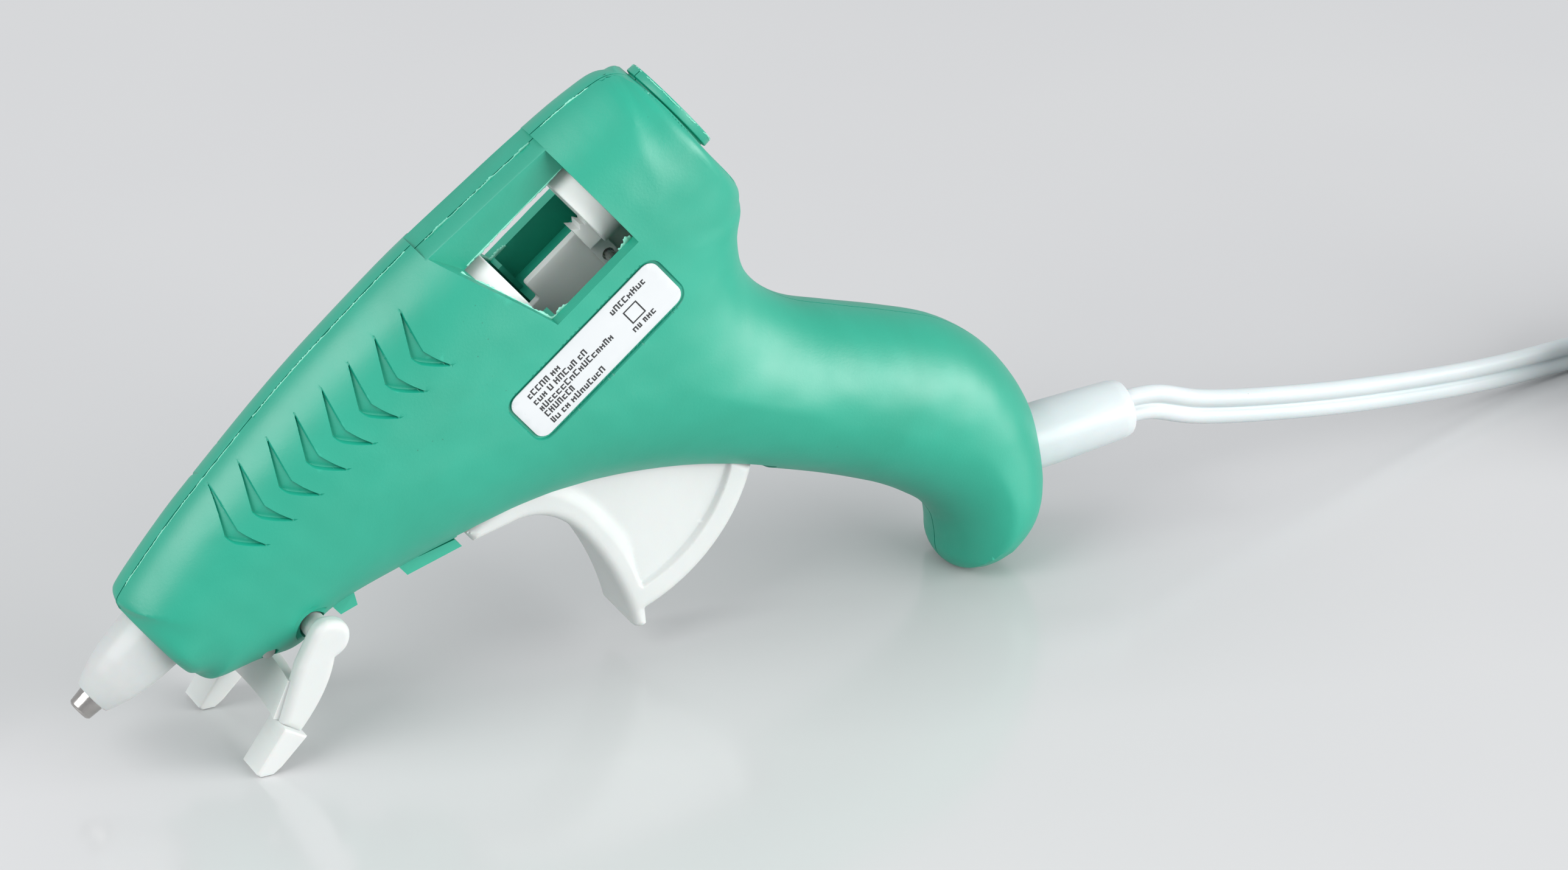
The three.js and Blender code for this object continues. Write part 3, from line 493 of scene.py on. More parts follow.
STEEL = metal("zinc_steel", (0.56, 0.56, 0.55), 0.3)
ALUMINIUM = metal("cast_aluminium", (0.6, 0.61, 0.63), 0.42)
BRASS = metal("brass_sheet", (0.75, 0.56, 0.26), 0.28)
PAPER = moulded("label_film", (205, 208, 209), (210, 213, 214), (199, 203, 205), 0.32, 0.05)
INK = moulded("black_ink", (34, 35, 37), (42, 43, 45), (28, 29, 31), 0.5, 0.05)
CERAMIC = moulded("fired_ceramic", (214, 208, 196), (220, 214, 202), (200, 193, 180), 0.8, 0.5)


# ---------- the lead ----------
LEAD_WIDTH, LEAD_THICKNESS = 5.4, 2.7
HANK_AT, HALF_RUN, FOLD_R, PINCH = (221.0, -9.6), 31.5, (16.2, 21.6), 12.1
HANK_BOTTOM, HANK_TOP = 0.95, 11.95
RELIEF_AT, RELIEF_ANGLE, RELIEF_OUT = (122.7, -88.4), math.radians(5) - TILT, 15.5
RUN_SHARE = 2 * HALF_RUN / (4 * HALF_RUN + math.pi * sum(FOLD_R))


def hank_point(turn, r):
    """A point on the hank, clockwise from above: a run on +y, a fold, the run back, the other fold."""
    phase = turn % 1
    flip = -1 if phase >= 0.5 else 1
    phase %= 0.5
    if phase < RUN_SHARE:
        x = HALF_RUN * (2 * phase / RUN_SHARE - 1)
        y = r - PINCH * (1 + math.cos(math.pi * x / HALF_RUN)) / 2
    else:
        angle = math.pi * (phase - RUN_SHARE) / (0.5 - RUN_SHARE)
        x, y = HALF_RUN + r * math.sin(angle), r * math.cos(angle)
    return HANK_AT[0] + flip * x, HANK_AT[1] + flip * y


def eased(at, stops):
    """A value that eases from stop to stop; stops are (place, value)."""
    for (a, va), (b, vb) in zip(stops[:-1], stops[1:]):
        if at <= b:
            return va + (vb - va) * float(smooth((at - a) / (b - a)))
    return stops[-1][1]


def lead_path():
    """The lead's centreline in the row frame, in metres."""
    start = row(turned([(RELIEF_OUT - 0.5, 0, 0)], RELIEF_ANGLE, RELIEF_AT))[0] * 1000
    way = [
        start, start + (5, 0.1, -0.3), (96.5, 0.8, 15.3), (118, 3, 10.4), (140.8, 7, 5.9),
        (155.4, 9.3, 3.9), (166, 10.9, 3.1), (177, 11.9, 2.8)]
    inner, outer = FOLD_R
    layer = 5.5
    low, middle, high = HANK_BOTTOM + 0.5 * layer, HANK_BOTTOM + 1.5 * layer, HANK_TOP + 0.6 * layer
    # the lower layer from outside in, the upper one from inside out, and up on top of it at the end:
    # each stop is (turns, value)
    radii = [(0, outer), (0.76, outer), (1, inner), (2.26, inner), (2.48, outer), (4, outer)]
    heights = [(0, low), (1.52, low), (1.74, middle), (3.2, middle), (3.5, high), (4, high)]
    coil = []
    for turn in np.arange(0.01, 3.53, 1 / 48):
        px, py = hank_point(turn, eased(turn, radii))
        coil.append((px, py, eased(turn, heights)))
    cx, cy = HANK_AT
    tail = [(cx + 22, cy - 18.9, high + 0.05), (cx + 12, cy - 12.4, 16.2), (cx + 4, cy - 7, 17.9),
            (cx - 4, cy - 5.1, 18.6), (cx - 8, cy - 5, 18.65)]
    joined = [tuple(p) for p in way] + coil + tail
    return evenly(spline(joined, np.linspace(0, len(joined) - 1, len(joined) * 12)), 1.2) / 1000


def lead_section():
    """A flat twin lead: two round cores side by side with a groove between them."""
    w, t = LEAD_WIDTH / 2, LEAD_THICKNESS / 2
    round_core = [(w - t + t * math.cos(a), t * math.sin(a)) for a in np.linspace(-2.75, 2.75, 17)]
    other = [(-x, -z) for x, z in round_core]
    return np.array(round_core + other) / 1000


lead_line = lead_path()
lead = mesh_piece("power_lead", *swept(lead_line, lead_section(), (0, 0, 1)), VINYL, "gun", 60)
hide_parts("cord", "cord_hank", "cord_tail")

# ---------- the shells ----------
# Sections across the gun: a point on the top-and-back line and its partner on the bottom-and-front
# line, (x, z, x, z), from the nose to the heel.
SECTIONS = np.array([
    (14.5, 7.2, 14.5, -8), (15, 8.4, 14.9, -9.8), (16.4, 9, 16.6, -11.2), (21, 10.1, 21.5, -13.6),
    (26, 11.1, 26, -16.5), (29.5, 11.7, 29, -17.2), (35, 12.4, 34, -16.7), (46.5, 13.7, 46, -20.6),
    (55.6, 14.4, 54, -23.9), (64.7, 14.7, 60, -26.5), (76, 14.8, 65, -29.1), (88, 14.2, 69.5, -32),
    (99, 13.5, 73, -34.6), (109, 12.4, 76, -37.1), (114.6, 10.9, 78.2, -39.1), (116.6, 8.2, 79.5, -40.3),
    (116.6, -3, 81.8, -42.6), (116.6, -15.5, 84, -45), (115.6, -18.9, 85.5, -46.8),
    (112.2, -22.3, 87, -48.6), (109.6, -27, 88.6, -50.7), (109.2, -32, 90.4, -53.3),
    (110.8, -38, 92.6, -56.6), (115.2, -45.3, 95.6, -61.3), (120.2, -53, 98.6, -66.5),
    (124.5, -60.5, 101.2, -71.6), (126.6, -68, 102.9, -76.2), (126.7, -75, 104, -80.6),
    (125.4, -81.5, 103.9, -84.3), (122.7, -87, 102.4, -87.4), (119.8, -91.4, 100.8, -89.9),
    (117, -94.2, 100.5, -92), (114, -95.9, 101.9, -93.9), (111.3, -96.6, 104.3, -95.6),
    (108.6, -96.8, 107.4, -96.7),
], float)
LAST = len(SECTIONS) - 1
NOSE_X, REAR_X, WALL = 14.5, 116.6, 2.0
NOSE_ROUNDING, REAR_ROUNDING, HANDLE_TOP = 2.0, 1.3, -28
BACK_LINE = spline(SECTIONS[:, :2], np.linspace(0, LAST, LAST * 8 + 1))
FRONT_LINE = spline(SECTIONS[:, 2:], np.linspace(0, LAST, LAST * 8 + 1))
OUTLINE = turning(np.vstack([BACK_LINE, FRONT_LINE[::-1]]))
RELIEF_HOLE, NOSE_HOLE, REAR_HOLE = 5.2, 5.6, 4.2
PIVOT = (73.5, -27.9)  # the trigger's pin
SCREWS = [(24.2, -12.2), (60, -16.5), (108.5, -15.5), (118.6, -70)]
TRIGGER_SLOT = np.array([
    (53.9, -17.5), (61, -20.5), (68, -23.5), (74.5, -26.8), (80, -31.5), (86, -37.5), (92.6, -46),
    (92.6, -53.5), (84, -60), (53.9, -40)], float)


def long_edges():
    """The long rounded edges as separate lines, carried on straight past the rear face."""
    top = spline(SECTIONS[:, :2], np.linspace(0, 14.4, 60))
    top = np.vstack([top, top[-1] + (10, -2.7)])
    rear = spline(SECTIONS[:, :2], np.linspace(17.7, LAST, 80))
    rear = np.vstack([rear[0] + (6, 6), rear])
    return [top, rear, FRONT_LINE]


EDGES = long_edges()


def edge_distance(p):
    """The distance to the nearest long edge, blended where two edges are about as near."""
    top, rear, front = [polyline_distance(p, line) for line in EDGES]
    blend = 5.0
    near = np.minimum(top, rear) - np.maximum(blend - np.abs(top - rear), 0) ** 2 / (4 * blend)
    near = np.where(np.minimum(top, rear) < 0.6, np.minimum(top, rear), np.maximum(near, 0.3))
    return np.minimum(near, front)


def half_thickness(p, offset=0.0, near=None):
    """The surface's distance from the middle plane, for a body shrunk all round by an offset."""
    x, z = p[:, 0], p[:, 1]
    down = smooth((-25 - z) / 30)
    body = 9 + 9 * smooth((x - NOSE_X) / 45)
    depth = body + (12.3 - 2.8 * smooth((-78 - z) / 14) - body) * down - offset
    width = 8.9 + 3.4 * smooth((x - NOSE_X) / 45)
    width = width + (12 - width) * down - offset
    near = edge_distance(p) if near is None else near
    q = np.clip((near - offset) / depth, 0, 1)
    full = width * np.sqrt(np.maximum(1 - (1 - q) ** 2, 0))
    full = full - rounded_drop(x - NOSE_X - offset, max(0.3, NOSE_ROUNDING - offset))
    rear = rounded_drop(REAR_X - offset - x, max(0.3, REAR_ROUNDING - offset))
    return full - np.where(z > HANDLE_TOP, rear, 0)


# --- the window ---
WIN_TOP, WIN_RIDGE, WIN_SILL, WIN_REAR, RIDGE_Y, INNER_FRONT = 15.0, 8.2, -3.9, 101.0, 4.0, 84.6
STEP_X, STEP_DEPTH = (78.7, 101.1), 0.9


def window_front_line():
    """The window's front wall seen from the side, from the top down to the sill."""
    return np.array([(78.6, WIN_TOP), (79, 13.6), *bend((79, 13.6), (82.9, 5.5), (85, WIN_SILL), 29)])


# --- chevrons ---
# An arrow's corners, and how far the side after each corner bows out.
ARROW = np.array([(0, 8), (3.65, 12.5), (1.8, 7.5), (3.2, 3.5), (0.35, 6.5)], float)
BULGES = np.array([(-0.05, 0.1), (-0.18, -0.2), (-0.14, 0), (-0.08, -0.08), (-0.12, 0)])
CHEVRON_COUNT, CHEVRON_FIRST, CHEVRON_PITCH = 8, 32.1, 5.07


def arrow_loop(index):
    """One arrow-shaped groove: a rounded bend between two arms that taper to points."""
    corners = ARROW + (CHEVRON_FIRST + CHEVRON_PITCH * index, 0)
    t = np.linspace(0, 1, 9)[:-1, None]
    sides = zip(corners, np.roll(corners, -1, 0), BULGES)
    return turning(np.vstack([a + (b - a) * t + bulge * 4 * t * (1 - t) for a, b, bulge in sides]))


ARROWS = [arrow_loop(i) for i in range(CHEVRON_COUNT)]
LABEL_X, LABEL_Z, LABEL_CORNER = (72.0, 100.5), (-16.1, -7.5), 1.7


def round_box(x, z, r, steps=7):
    """A rectangle with rounded corners."""
    out = []
    for cx, cz, start in ((x[1] - r, z[0] + r, -90), (x[1] - r, z[1] - r, 0),
                          (x[0] + r, z[1] - r, 90), (x[0] + r, z[0] + r, 180)):
        for k in range(steps):
            a = math.radians(start + 90 * k / (steps - 1))
            out.append((cx + r * math.cos(a), cz + r * math.sin(a)))
    return np.array(out)


LABEL_POCKET = round_box((LABEL_X[0] - 0.5, LABEL_X[1] + 0.5), (LABEL_Z[0] - 0.5, LABEL_Z[1] + 0.5), 2.2)


def circle(at, r, count):
    a = np.arange(count) * 2 * math.pi / count
    return np.column_stack([at[0] + r * np.cos(a), at[1] + r * np.sin(a)])


def wobble(p):
    """Smooth unevenness between -1 and 1 along x and z."""
    g = np.random.default_rng(5)
    total = np.zeros(len(p))
    for _ in range(6):
        k = g.normal(0, 1 / 9, 2)
        total += np.sin(p @ k * 2 * math.pi + g.uniform(0, 6.28))
    return np.clip(total / 3, -1, 1)


def shell_points(side):
    """The outline, and the loose points inside it that the surface's shape needs."""
    step = 0.55
    outline = resample(OUTLINE, step)
    depths = (0.03, 0.1, 0.22, 0.42, 0.7, 1.05, 1.5, 2.05, 2.7, 3.45, 4.3)
    grid = hex_grid(OUTLINE.min(0), OUTLINE.max(0), 0.85)
    points = [rows_inside(OUTLINE, depths, step), grid[depth_in(grid, OUTLINE) > 4.6]]
    from_ends = (0.05, 0.2, 0.5, 0.9, 1.4, 2, 2.6)
    for x in (*(NOSE_X + d for d in from_ends), *(REAR_X - d for d in from_ends)):
        z = np.arange(-46, 13, 0.5)
        column = np.column_stack([np.full(len(z), x), z])
        points.append(column[depth_in(column, OUTLINE) > 0.2])
    for loop in ARROWS:
        points.append(rows_inside(loop, (-0.4, -0.2, -0.07, 0, 0.07, 0.16, 0.3, 0.5), 0.26))
    if side < 0:
        points.append(rows_inside(LABEL_POCKET, (-0.5, -0.25, -0.1, 0, 0.08, 0.2, 0.5), 0.4))
    if side > 0:
        for at in SCREWS:
            points += [circle(at, r, 44) for r in (1.2, 1.3, 2.2, 2.3, 2.35, 2.5, 2.75, 3.1)]
    hub_radii = (2.0, 2.2, 2.3, 3.0, 3.1, 3.2, 3.6, 3.85, 3.95, 4.05, 4.25, 4.6)
    points += [circle(STAND_PIVOT, r, 60) for r in hub_radii]
    return outline, points


def groove(p):
    """How deep the arrow grooves are cut: deepest along their front edge, shallow behind it."""
    total = np.zeros(len(p))
    for index, loop in enumerate(ARROWS):
        low, high = loop.min(0) - 0.3, loop.max(0) + 0.3
        near = ((p > low) & (p < high)).all(1)
        d = depth_in(p[near], loop)
        start, bend_z = CHEVRON_FIRST + CHEVRON_PITCH * index, 7.4
        bend_x = start + np.abs(p[near, 1] - bend_z) * np.where(p[near, 1] > bend_z, 0.62, 0.82)
        behind = np.clip((p[near, 0] - bend_x) / 1.7, 0, 1)
        total[near] = np.maximum(total[near], (0.9 - 0.55 * behind) * smooth((d + 0.03) / 0.11))
    return total


def surface_at(at):
    """The plain surface's distance from the middle plane at one place."""
    return float(half_thickness(np.array([at], float))[0])


def sunk(out, level, share):
    """Heights lowered to a level where share is 1, and left where it is 0."""
    return out + (np.minimum(out, level) - out) * share


def shell_heights(p, side):
    """The outer and the inner surface's distance from the middle plane."""
    near = edge_distance(p)
    x, z = p[:, 0], p[:, 1]
    out = half_thickness(p, 0, near)
    out = out + 0.035 * wobble(p) * smooth((near - 1) / 3)
    out = np.maximum(out, SEAM + 0.15)
    out = out - groove(p)
    if side < 0:
        d = depth_in(p, LABEL_POCKET)
        out = np.where(d > -0.4, sunk(out, 11.7, smooth((d + 0.1) / 0.2)), out)
    if side > 0:
        for at in SCREWS:
            r = np.hypot(x - at[0], z - at[1])
            out = sunk(out, surface_at(at) - 2.9, smooth((2.42 - r) / 0.14))
    r = np.hypot(x - STAND_PIVOT[0], z - STAND_PIVOT[1])
    out = sunk(out, 8.9, smooth((4.05 - r) / 0.16))
    out = sunk(out, 7.4, smooth((3.15 - r) / 0.14))

    inner = half_thickness(p, WALL, near)
    solid = (near < WALL) | (x < NOSE_X + WALL) | ((x > REAR_X - WALL) & (z > HANDLE_TOP))
    solid |= (x > 77.5) & (x < 103.5) & (z > WIN_RIDGE)
    for at in SCREWS:
        solid |= np.hypot(x - at[0], z - at[1]) < 2.7
    inner = np.where(solid, SEAM, inner)
    inner = np.where(np.hypot(x - PIVOT[0], z - PIVOT[1]) < 3, np.minimum(inner, 6.6), inner)
    inner = np.where(r < 4.3, np.minimum(inner, np.where(r < 3.2, 4.6, 6.6)), inner)
    inner = np.minimum(inner, out - 0.25)
    return out, np.maximum(inner, SEAM)


JOIN, CUT = "UNION", "DIFFERENCE"


def combine(base, steps):
    """Joins closed parts to a base and cuts them from it, one after another, in millimetres."""
    obj = new_mesh("temporary", *base)
    helpers = []
    for operation, part in steps:
        helper = new_mesh("temporary", *part)
        helpers.append(helper)
        m = obj.modifiers.new("step", "BOOLEAN")
        m.operation = operation
        m.solver = "MANIFOLD"
        m.object = helper
    graph = bpy.context.evaluated_depsgraph_get()
    mesh = obj.evaluated_get(graph).to_mesh()
    points = np.array([v.co for v in mesh.vertices])
    faces = [tuple(f.vertices) for f in mesh.polygons]
    for o in [*helpers, obj]:
        data = o.data
        bpy.data.objects.remove(o)
        bpy.data.meshes.remove(data)
    return points, faces


def box_part(x, y, z):
    points = [(a, b, c) for a in x for b in y for c in z]
    faces = [(0, 1, 3, 2), (4, 6, 7, 5), (0, 4, 5, 1), (2, 3, 7, 6), (0, 2, 6, 4), (1, 5, 7, 3)]
    return facing_out((points, faces))


def ring_faces(n):
    """The faces between two rings of n points, with an end over each."""
    walls = [(i, (i + 1) % n, n + (i + 1) % n, n + i) for i in range(n)]
    return [tuple(range(n))[::-1], tuple(range(n, 2 * n)), *walls]


def prism(loop, y):
    """A closed outline in x-z with straight sides along y."""
    loop = turning(np.asarray(loop, float))
    return facing_out((np.vstack([at_depth(loop, h) for h in y]), ring_faces(len(loop))))


def rod(at, r, y, sides=48):
    return prism(circle(at, r, sides), y)


def sided(side, a, b):
    """The stretch from a to b along y, on one side of the gun."""
    return (a, b) if side > 0 else (-b, -a)


def window_pocket(side):
    """The pocket beside the top ridge, its front wall leaning."""
    loop = np.vstack([window_front_line(), [(WIN_REAR, WIN_SILL), (WIN_REAR, WIN_TOP)]])
    return prism(loop, sided(side, RIDGE_Y, 14))


def top_step():
    """What is cut away above the strip over the window."""
    x, z = BACK_LINE.T
    floor_line = BACK_LINE[(z > 0) & (x > STEP_X[0]) & (x < STEP_X[1])] - (0, STEP_DEPTH)
    floor_line[0, 0], floor_line[-1, 0] = STEP_X
    loop = np.vstack([floor_line, [(STEP_X[1], 20), (STEP_X[0], 20)]])
    return prism(loop, (-14, 14))


def oblique_rod(at, angle, r, reach, sides=56):
    """A cylinder whose axis lies in x-z at an angle."""
    turns = np.arange(sides) * 2 * math.pi / sides
    points = [(along, r * math.sin(t), r * math.cos(t)) for along in reach for t in turns]
    return facing_out((turned(points, angle, at), ring_faces(sides)))


def inlet_ring(side):
    """The ring round the stick's inlet, with a lip at its rear end."""
    profile = [(113.4, 4.2), (113.4, 7), (117.1, 7.05), (117.2, 7.6), (118.5, 7.5), (118.5, 4.35)]
    points, faces = revolve(profile, 60, 0.16, (0.014, math.pi - 0.014))
    points[:, 1] *= side
    return facing_out((points, faces))


def shell_solid(side):
    outline, points = shell_points(side)
    flat, faces = triangulate(outline, np.concatenate(points))
    faces = faces[inside(flat[faces].mean(1), outline)]
    base = close_sides(flat, faces, *shell_heights(flat, side), side)
    steps = [(JOIN, inlet_ring(side))]
    for lug in (((34.8, -13), (34.8, -17.4), (37.4, -18.3), (38.4, -16.2), (38.8, -13)),
                ((45.2, -17.5), (45.2, -20.9), (53.4, -24.2), (53.4, -20.5))):
        steps.append((JOIN, prism(lug, sided(side, 0.6, 4.6))))
    notch = ((47.1, -19.2), (53.4, -21.4), (53.4, -22.5), (48.2, -20.1))
    steps.append((CUT, prism(notch, sided(side, 3.4, 8))))
    upright_top = 4 if side > 0 else -1.5
    steps.append((JOIN, box_part((84.9, 85.7), sided(side, 7.4, 11.2), (-9.5, upright_top))))
    if side > 0:
        steps.append((JOIN, box_part((84.9, 97.8), sided(side, 3.4, 11.2), (-9.8, -9))))
    steps += [
        (CUT, oblique_rod((0, 0), 0, NOSE_HOLE, (12, 18))),
        (CUT, oblique_rod((0, 0), 0, REAR_HOLE, (112, 119))),
        (CUT, window_pocket(side)),
        (CUT, top_step()),
        (CUT, box_part((INNER_FRONT, WIN_REAR), sided(side, 0, 10), (WIN_SILL, WIN_RIDGE))),
        (CUT, prism(TRIGGER_SLOT, (-6.6, 6.6))),
        (CUT, oblique_rod(RELIEF_AT, RELIEF_ANGLE, RELIEF_HOLE, (-5.3, 8))),
        (CUT, rod(PIVOT, 1.3, sided(side, 0, 6.9))),
        (CUT, rod(STAND_PIVOT, 2.2, sided(side, 3, 8))),
    ]
    hole = 1.35 if side > 0 else 1.25
    reach = (-1, 14) if side > 0 else (-7.2, 1)
    steps += [(CUT, rod(at, hole, reach)) for at in SCREWS]
    return combine(base, steps)


def ragged(count, seed):
    """A row of uneven values between 0 and 1."""
    g = np.random.default_rng(seed)
    fine = g.random(count)
    stops = count // 6 + 2
    coarse = np.interp(np.arange(count), np.linspace(0, count, stops), g.random(stops))
    return np.clip(0.55 * fine + 0.9 * coarse ** 2 - 0.25, 0, 1)


def fringe(path, outwards, seed, height, width=0.16, floor_height=0.04):
    """A thin ragged fringe of flash along a path of (x, y, z) points, standing out in a direction."""
    outwards = outwards * np.ones_like(path)
    ahead = np.gradient(path, axis=0)
    across = np.cross(ahead, outwards)
    across /= np.maximum(np.linalg.norm(across, axis=1), 1e-9)[:, None]
    rise = floor_height + height * ragged(len(path), seed)
    lean = (ragged(len(path), seed + 1) - 0.4) * 0.25
    root = path - outwards * 0.12
    crest = path + outwards * rise[:, None] + across * lean[:, None]
    half_root, half_crest = across * width / 2, across * 0.03
    rings = np.stack([root - half_root, crest - half_crest, crest + half_crest, root + half_root], axis=1)
    n = len(path)
    faces = []
    for i in range(n - 1):
        for k in range(4):
            a, b = i * 4 + k, i * 4 + (k + 1) % 4
            faces.append((a, b, b + 4, a + 4))
    faces += [(3, 2, 1, 0), tuple((n - 1) * 4 + k for k in range(4))]
    return facing_out((rings.reshape(-1, 3), faces))


FLASH_STEP = 0.22


def seam_flash():
    """Flash along the top seam of the left shell, with gaps."""
    x, z = BACK_LINE.T
    line = BACK_LINE[(x > 15.5) & (z > 9) & (x < 113)]
    parts = []
    stretches = ((17, 44, 3, 0.2), (46, 77.5, 5, 0.28), (79.2, 100.6, 8, 0.4), (102, 112, 9, 0.25))
    for start, end, seed, height in stretches:
        piece = line[(line[:, 0] >= start) & (line[:, 0] <= end)]
        if STEP_X[0] < start < STEP_X[1]:
            piece = piece - (0, STEP_DEPTH)
        path = at_depth(evenly(piece, FLASH_STEP), -0.28)
        parts.append(fringe(path, (0, -0.25, 0.97), seed, height))
    return merge(*parts)


def window_flash():
    """Flash left at the window's edges: along the ridge's lower edge and the corners of the hole."""
    parts = []
    for side in (-1, 1):
        x = np.arange(82, 100.9, FLASH_STEP)
        ridge = np.column_stack([x, np.full(len(x), WIN_RIDGE + 0.05)])
        path = at_depth(ridge, side * 3.95)
        parts.append(fringe(path, (0, -0.3 * side, -0.95), 20 + side, 0.35, 0.22))
        front = evenly(window_front_line()[8:], FLASH_STEP)
        path = at_depth(front, side * half_thickness(front, WALL))
        parts.append(fringe(path, (0.96, -0.25 * side, 0), 30 + side, 0.4, 0.2))
        for start, end, seed, height in ((98.3, 100.9, 40, 0.9), (85.0, 88.2, 50, 0.7)):
            x = np.arange(start, end, 0.18)
            sill = np.column_stack([x, np.full(len(x), WIN_SILL)])
            path = at_depth(sill, side * half_thickness(sill, WALL))
            parts.append(fringe(path, (0, 0, 1), seed + side, height, 0.25))
    return merge(*parts)


def ring_flash():
    """Flash on the rim of the ring round the inlet."""
    angle = np.linspace(0, 2 * math.pi, 200)
    across, up, along = np.sin(angle), np.cos(angle), np.ones(len(angle))
    path = np.column_stack([118.3 * along, 7.45 * across, 7.45 * up])
    outwards = np.column_stack([0.3 * along, across * 0.95, up * 0.95])
    return fringe(path, outwards, 60, 0.22, 0.25, 0.0)


def placed(node, part, material, body="gun", sharp=35, place=row):
    """A finer piece in place of a CAD node; the part is in the gun's millimetres."""
    points, faces = part
    piece = mesh_piece(node + "_fine", place(points), faces, material, body, sharp)
    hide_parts(node)


for node, side in (("shell_left", -1), ("shell_right", 1)):
    placed(node, shell_solid(side), GREEN, sharp=28)
for name, part in (
        ("seam_flash", seam_flash()), ("window_flash", window_flash()), ("ring_flash", ring_flash())):
    piece = mesh_piece(name, row(part[0]), part[1], FLASH, "gun", 0)


# ---------- the hot end and what the window shows ----------
placed("nozzle_tip", revolve(
    [(0, 0.8), (0.05, 1.5), (0.35, 1.85), (2.7, 2.1), (18.9, 2.1), (18.9, 3.4), (20.7, 3.4),
     (20.7, 1.6), (16, 0.8)], 72, 0.12), NICKEL)
placed("nozzle_sleeve", revolve(
    [(2.7, 2.35), (2.7, 2.75), (4.2, 3.35), (6.2, 4.05), (8.7, 4.62), (11.5, 5.0), (14.2, 5.18),
     (17.2, 5.2), (17.2, 5.8), (18.5, 5.8), (18.5, 2.4)], 96, 0.5), SLEEVE, sharp=50)
placed("melt_chamber", combine(
    revolve([(21, 0.9), (21, 3.6), (22.4, 5), (52, 5), (52, 3.75), (26, 3.75), (22.5, 0.9)], 72, 0.25),
    [(JOIN, box_part((27, 45), (-4.2, 4.2), (-9.5, -4.1))),
     (CUT, box_part((26, 46), (-3.3, 3.3), (-8.2, -5.9)))]), ALUMINIUM)
placed("feed_sleeve", revolve(
    [(52.3, 3.75), (52.3, 5.4), (63.6, 5.4), (63.6, 6.3), (66.2, 6.3), (66.2, 4)], 72, 0.3),
    SLEEVE)
placed("stick_guide", combine(
    revolve([(66.5, 4.1), (66.5, 6.6), (84.4, 6.6), (84.4, 4.4)], 96, 0.3),
    [(CUT, box_part((77.6, 90), (-0.3, 3.1), (-8, 0)))]), PAINTED_BRIGHT_WHITE)

# --- the feed carrier and its jaw ---
DRIVE_PIN, JAW_PIN = (79.5, -11.2), (97.2, -9.6)
KEEL = [
    (76.6, -7.3), (86, -7.3), (86, -3.9), (99, -3.9), (99, -5), (104, -5), (104, -13.2), (76.6, -13.2)]
placed("feed_carrier", combine(
    revolve([(98, 4.2), (98, 7), (106, 7), (106, 4.2)], 96, 0.35),
    [(JOIN, plate(soften(KEEL + KEEL[:1], 0.5)[:-1], (0.1, 1.3), 0.2, 0.9, 0.5)),
     (JOIN, rod(DRIVE_PIN, 1.4, (-2.7, 1))),
     (CUT, box_part((95.2, 99.8), (-3.4, -0.2), (-9, 0))),
     (CUT, rod(JAW_PIN, 1, (-5, 5)))]), PAINTED_BRIGHT_WHITE, "feed_carrier")
jaw_x, jaw_z = JAW_PIN
TEETH = [(jaw_x - 1.4, jaw_z + 4), (jaw_x + 1.5, jaw_z + 4), (jaw_x + 1.5, -2.2), (jaw_x + 0.9, -1.1),
         (jaw_x + 0.5, -1.9), (jaw_x, -1), (jaw_x - 0.5, -1.8), (jaw_x - 1.4, -0.8)]
placed("gripper_jaw", combine(
    plate(TEETH, (-3, -0.4), 0.12, 0.4, 0.2),
    [(JOIN, box_part((jaw_x - 1.4, jaw_x + 1.4), (-1.1, -0.4), (jaw_z - 1.6, jaw_z + 5))),
     (CUT, rod(JAW_PIN, 0.95, (-5, 5)))]), PAINTED_BRIGHT_WHITE, "gripper_jaw")


# ---------- the trigger ----------
ARC_R = 28.2


def arc(at, r, start, end, steps=24):
    a = np.radians(np.linspace(start, end, steps))
    return [(at[0] + r * math.cos(t), at[1] + r * math.sin(t)) for t in a]


def trigger_loop():
    loop = [(55, -22.2), (55, -24.6), (61.5, -27.6)]
    loop += bend((61.5, -27.6), (66.3, -30.5), (66.2, -37.5))
    loop += bend((66.2, -37.5), (66, -47), (62, -55.4))
    loop += bend((62, -55.4), (62.2, -57), (63.6, -56.9), 5)
    loop += [(65, -54.8), *arc(PIVOT, ARC_R, 252.5, 306.5), (88.5, -45), (79, -27.9)]
    return loop + arc(PIVOT, 5, 4, 129, 10) + [(62, -23.6)]


def panel_loop():
    """The sunk panel behind the finger's face."""
    loop = [(64.5, -25)] + bend((64.5, -25), (69.3, -30), (68.7, -38.5))
    loop += bend((68.7, -38.5), (68.4, -46), (66.6, -50.6))
    return np.array(loop + arc(PIVOT, ARC_R - 3.6, 254, 312) + [(90, -40), (80, -23), (64.5, -23)])


def panel_slope(p):
    """How wide the step down to the panel is: soft behind the finger's face, crisp along the arc."""
    return 0.75 + 2.0 * smooth((75 - p[:, 0]) / 5) * smooth((p[:, 1] + 50) / 8)


def trigger_solid():
    px, pz = PIVOT
    body = plate(trigger_loop(), (-6, 6), 1.4, 0.6, 0.35, (panel_loop(), 0.8, panel_slope))
    arm = [(px - 3, pz), (px + 4.4, pz), (px + 9.5, pz + 18.2), (px + 7, pz + 19.3), (px + 4.3, pz + 20.1)]
    along = np.array(DRIVE_PIN) - PIVOT
    along = along / np.linalg.norm(along)
    across = np.array([along[1], -along[0]])
    slot = [np.array(DRIVE_PIN) + a * across + b * along
            for a, b in ((-1.75, -2.7), (1.75, -2.7), (1.75, 1.8), (-1.75, 1.8))]
    return combine(body, [
        (CUT, rod(PIVOT, 3.6, (3.1, 9))),
        (CUT, box_part((px - 6.4, px + 6.4), (3.1, 9), (pz, pz + 6.4))),
        (JOIN, prism(arm, (-3, -0.2))),
        (CUT, prism(slot, (-4, 1))),
        (CUT, rod(PIVOT, 1.3, (-9, 9)))])


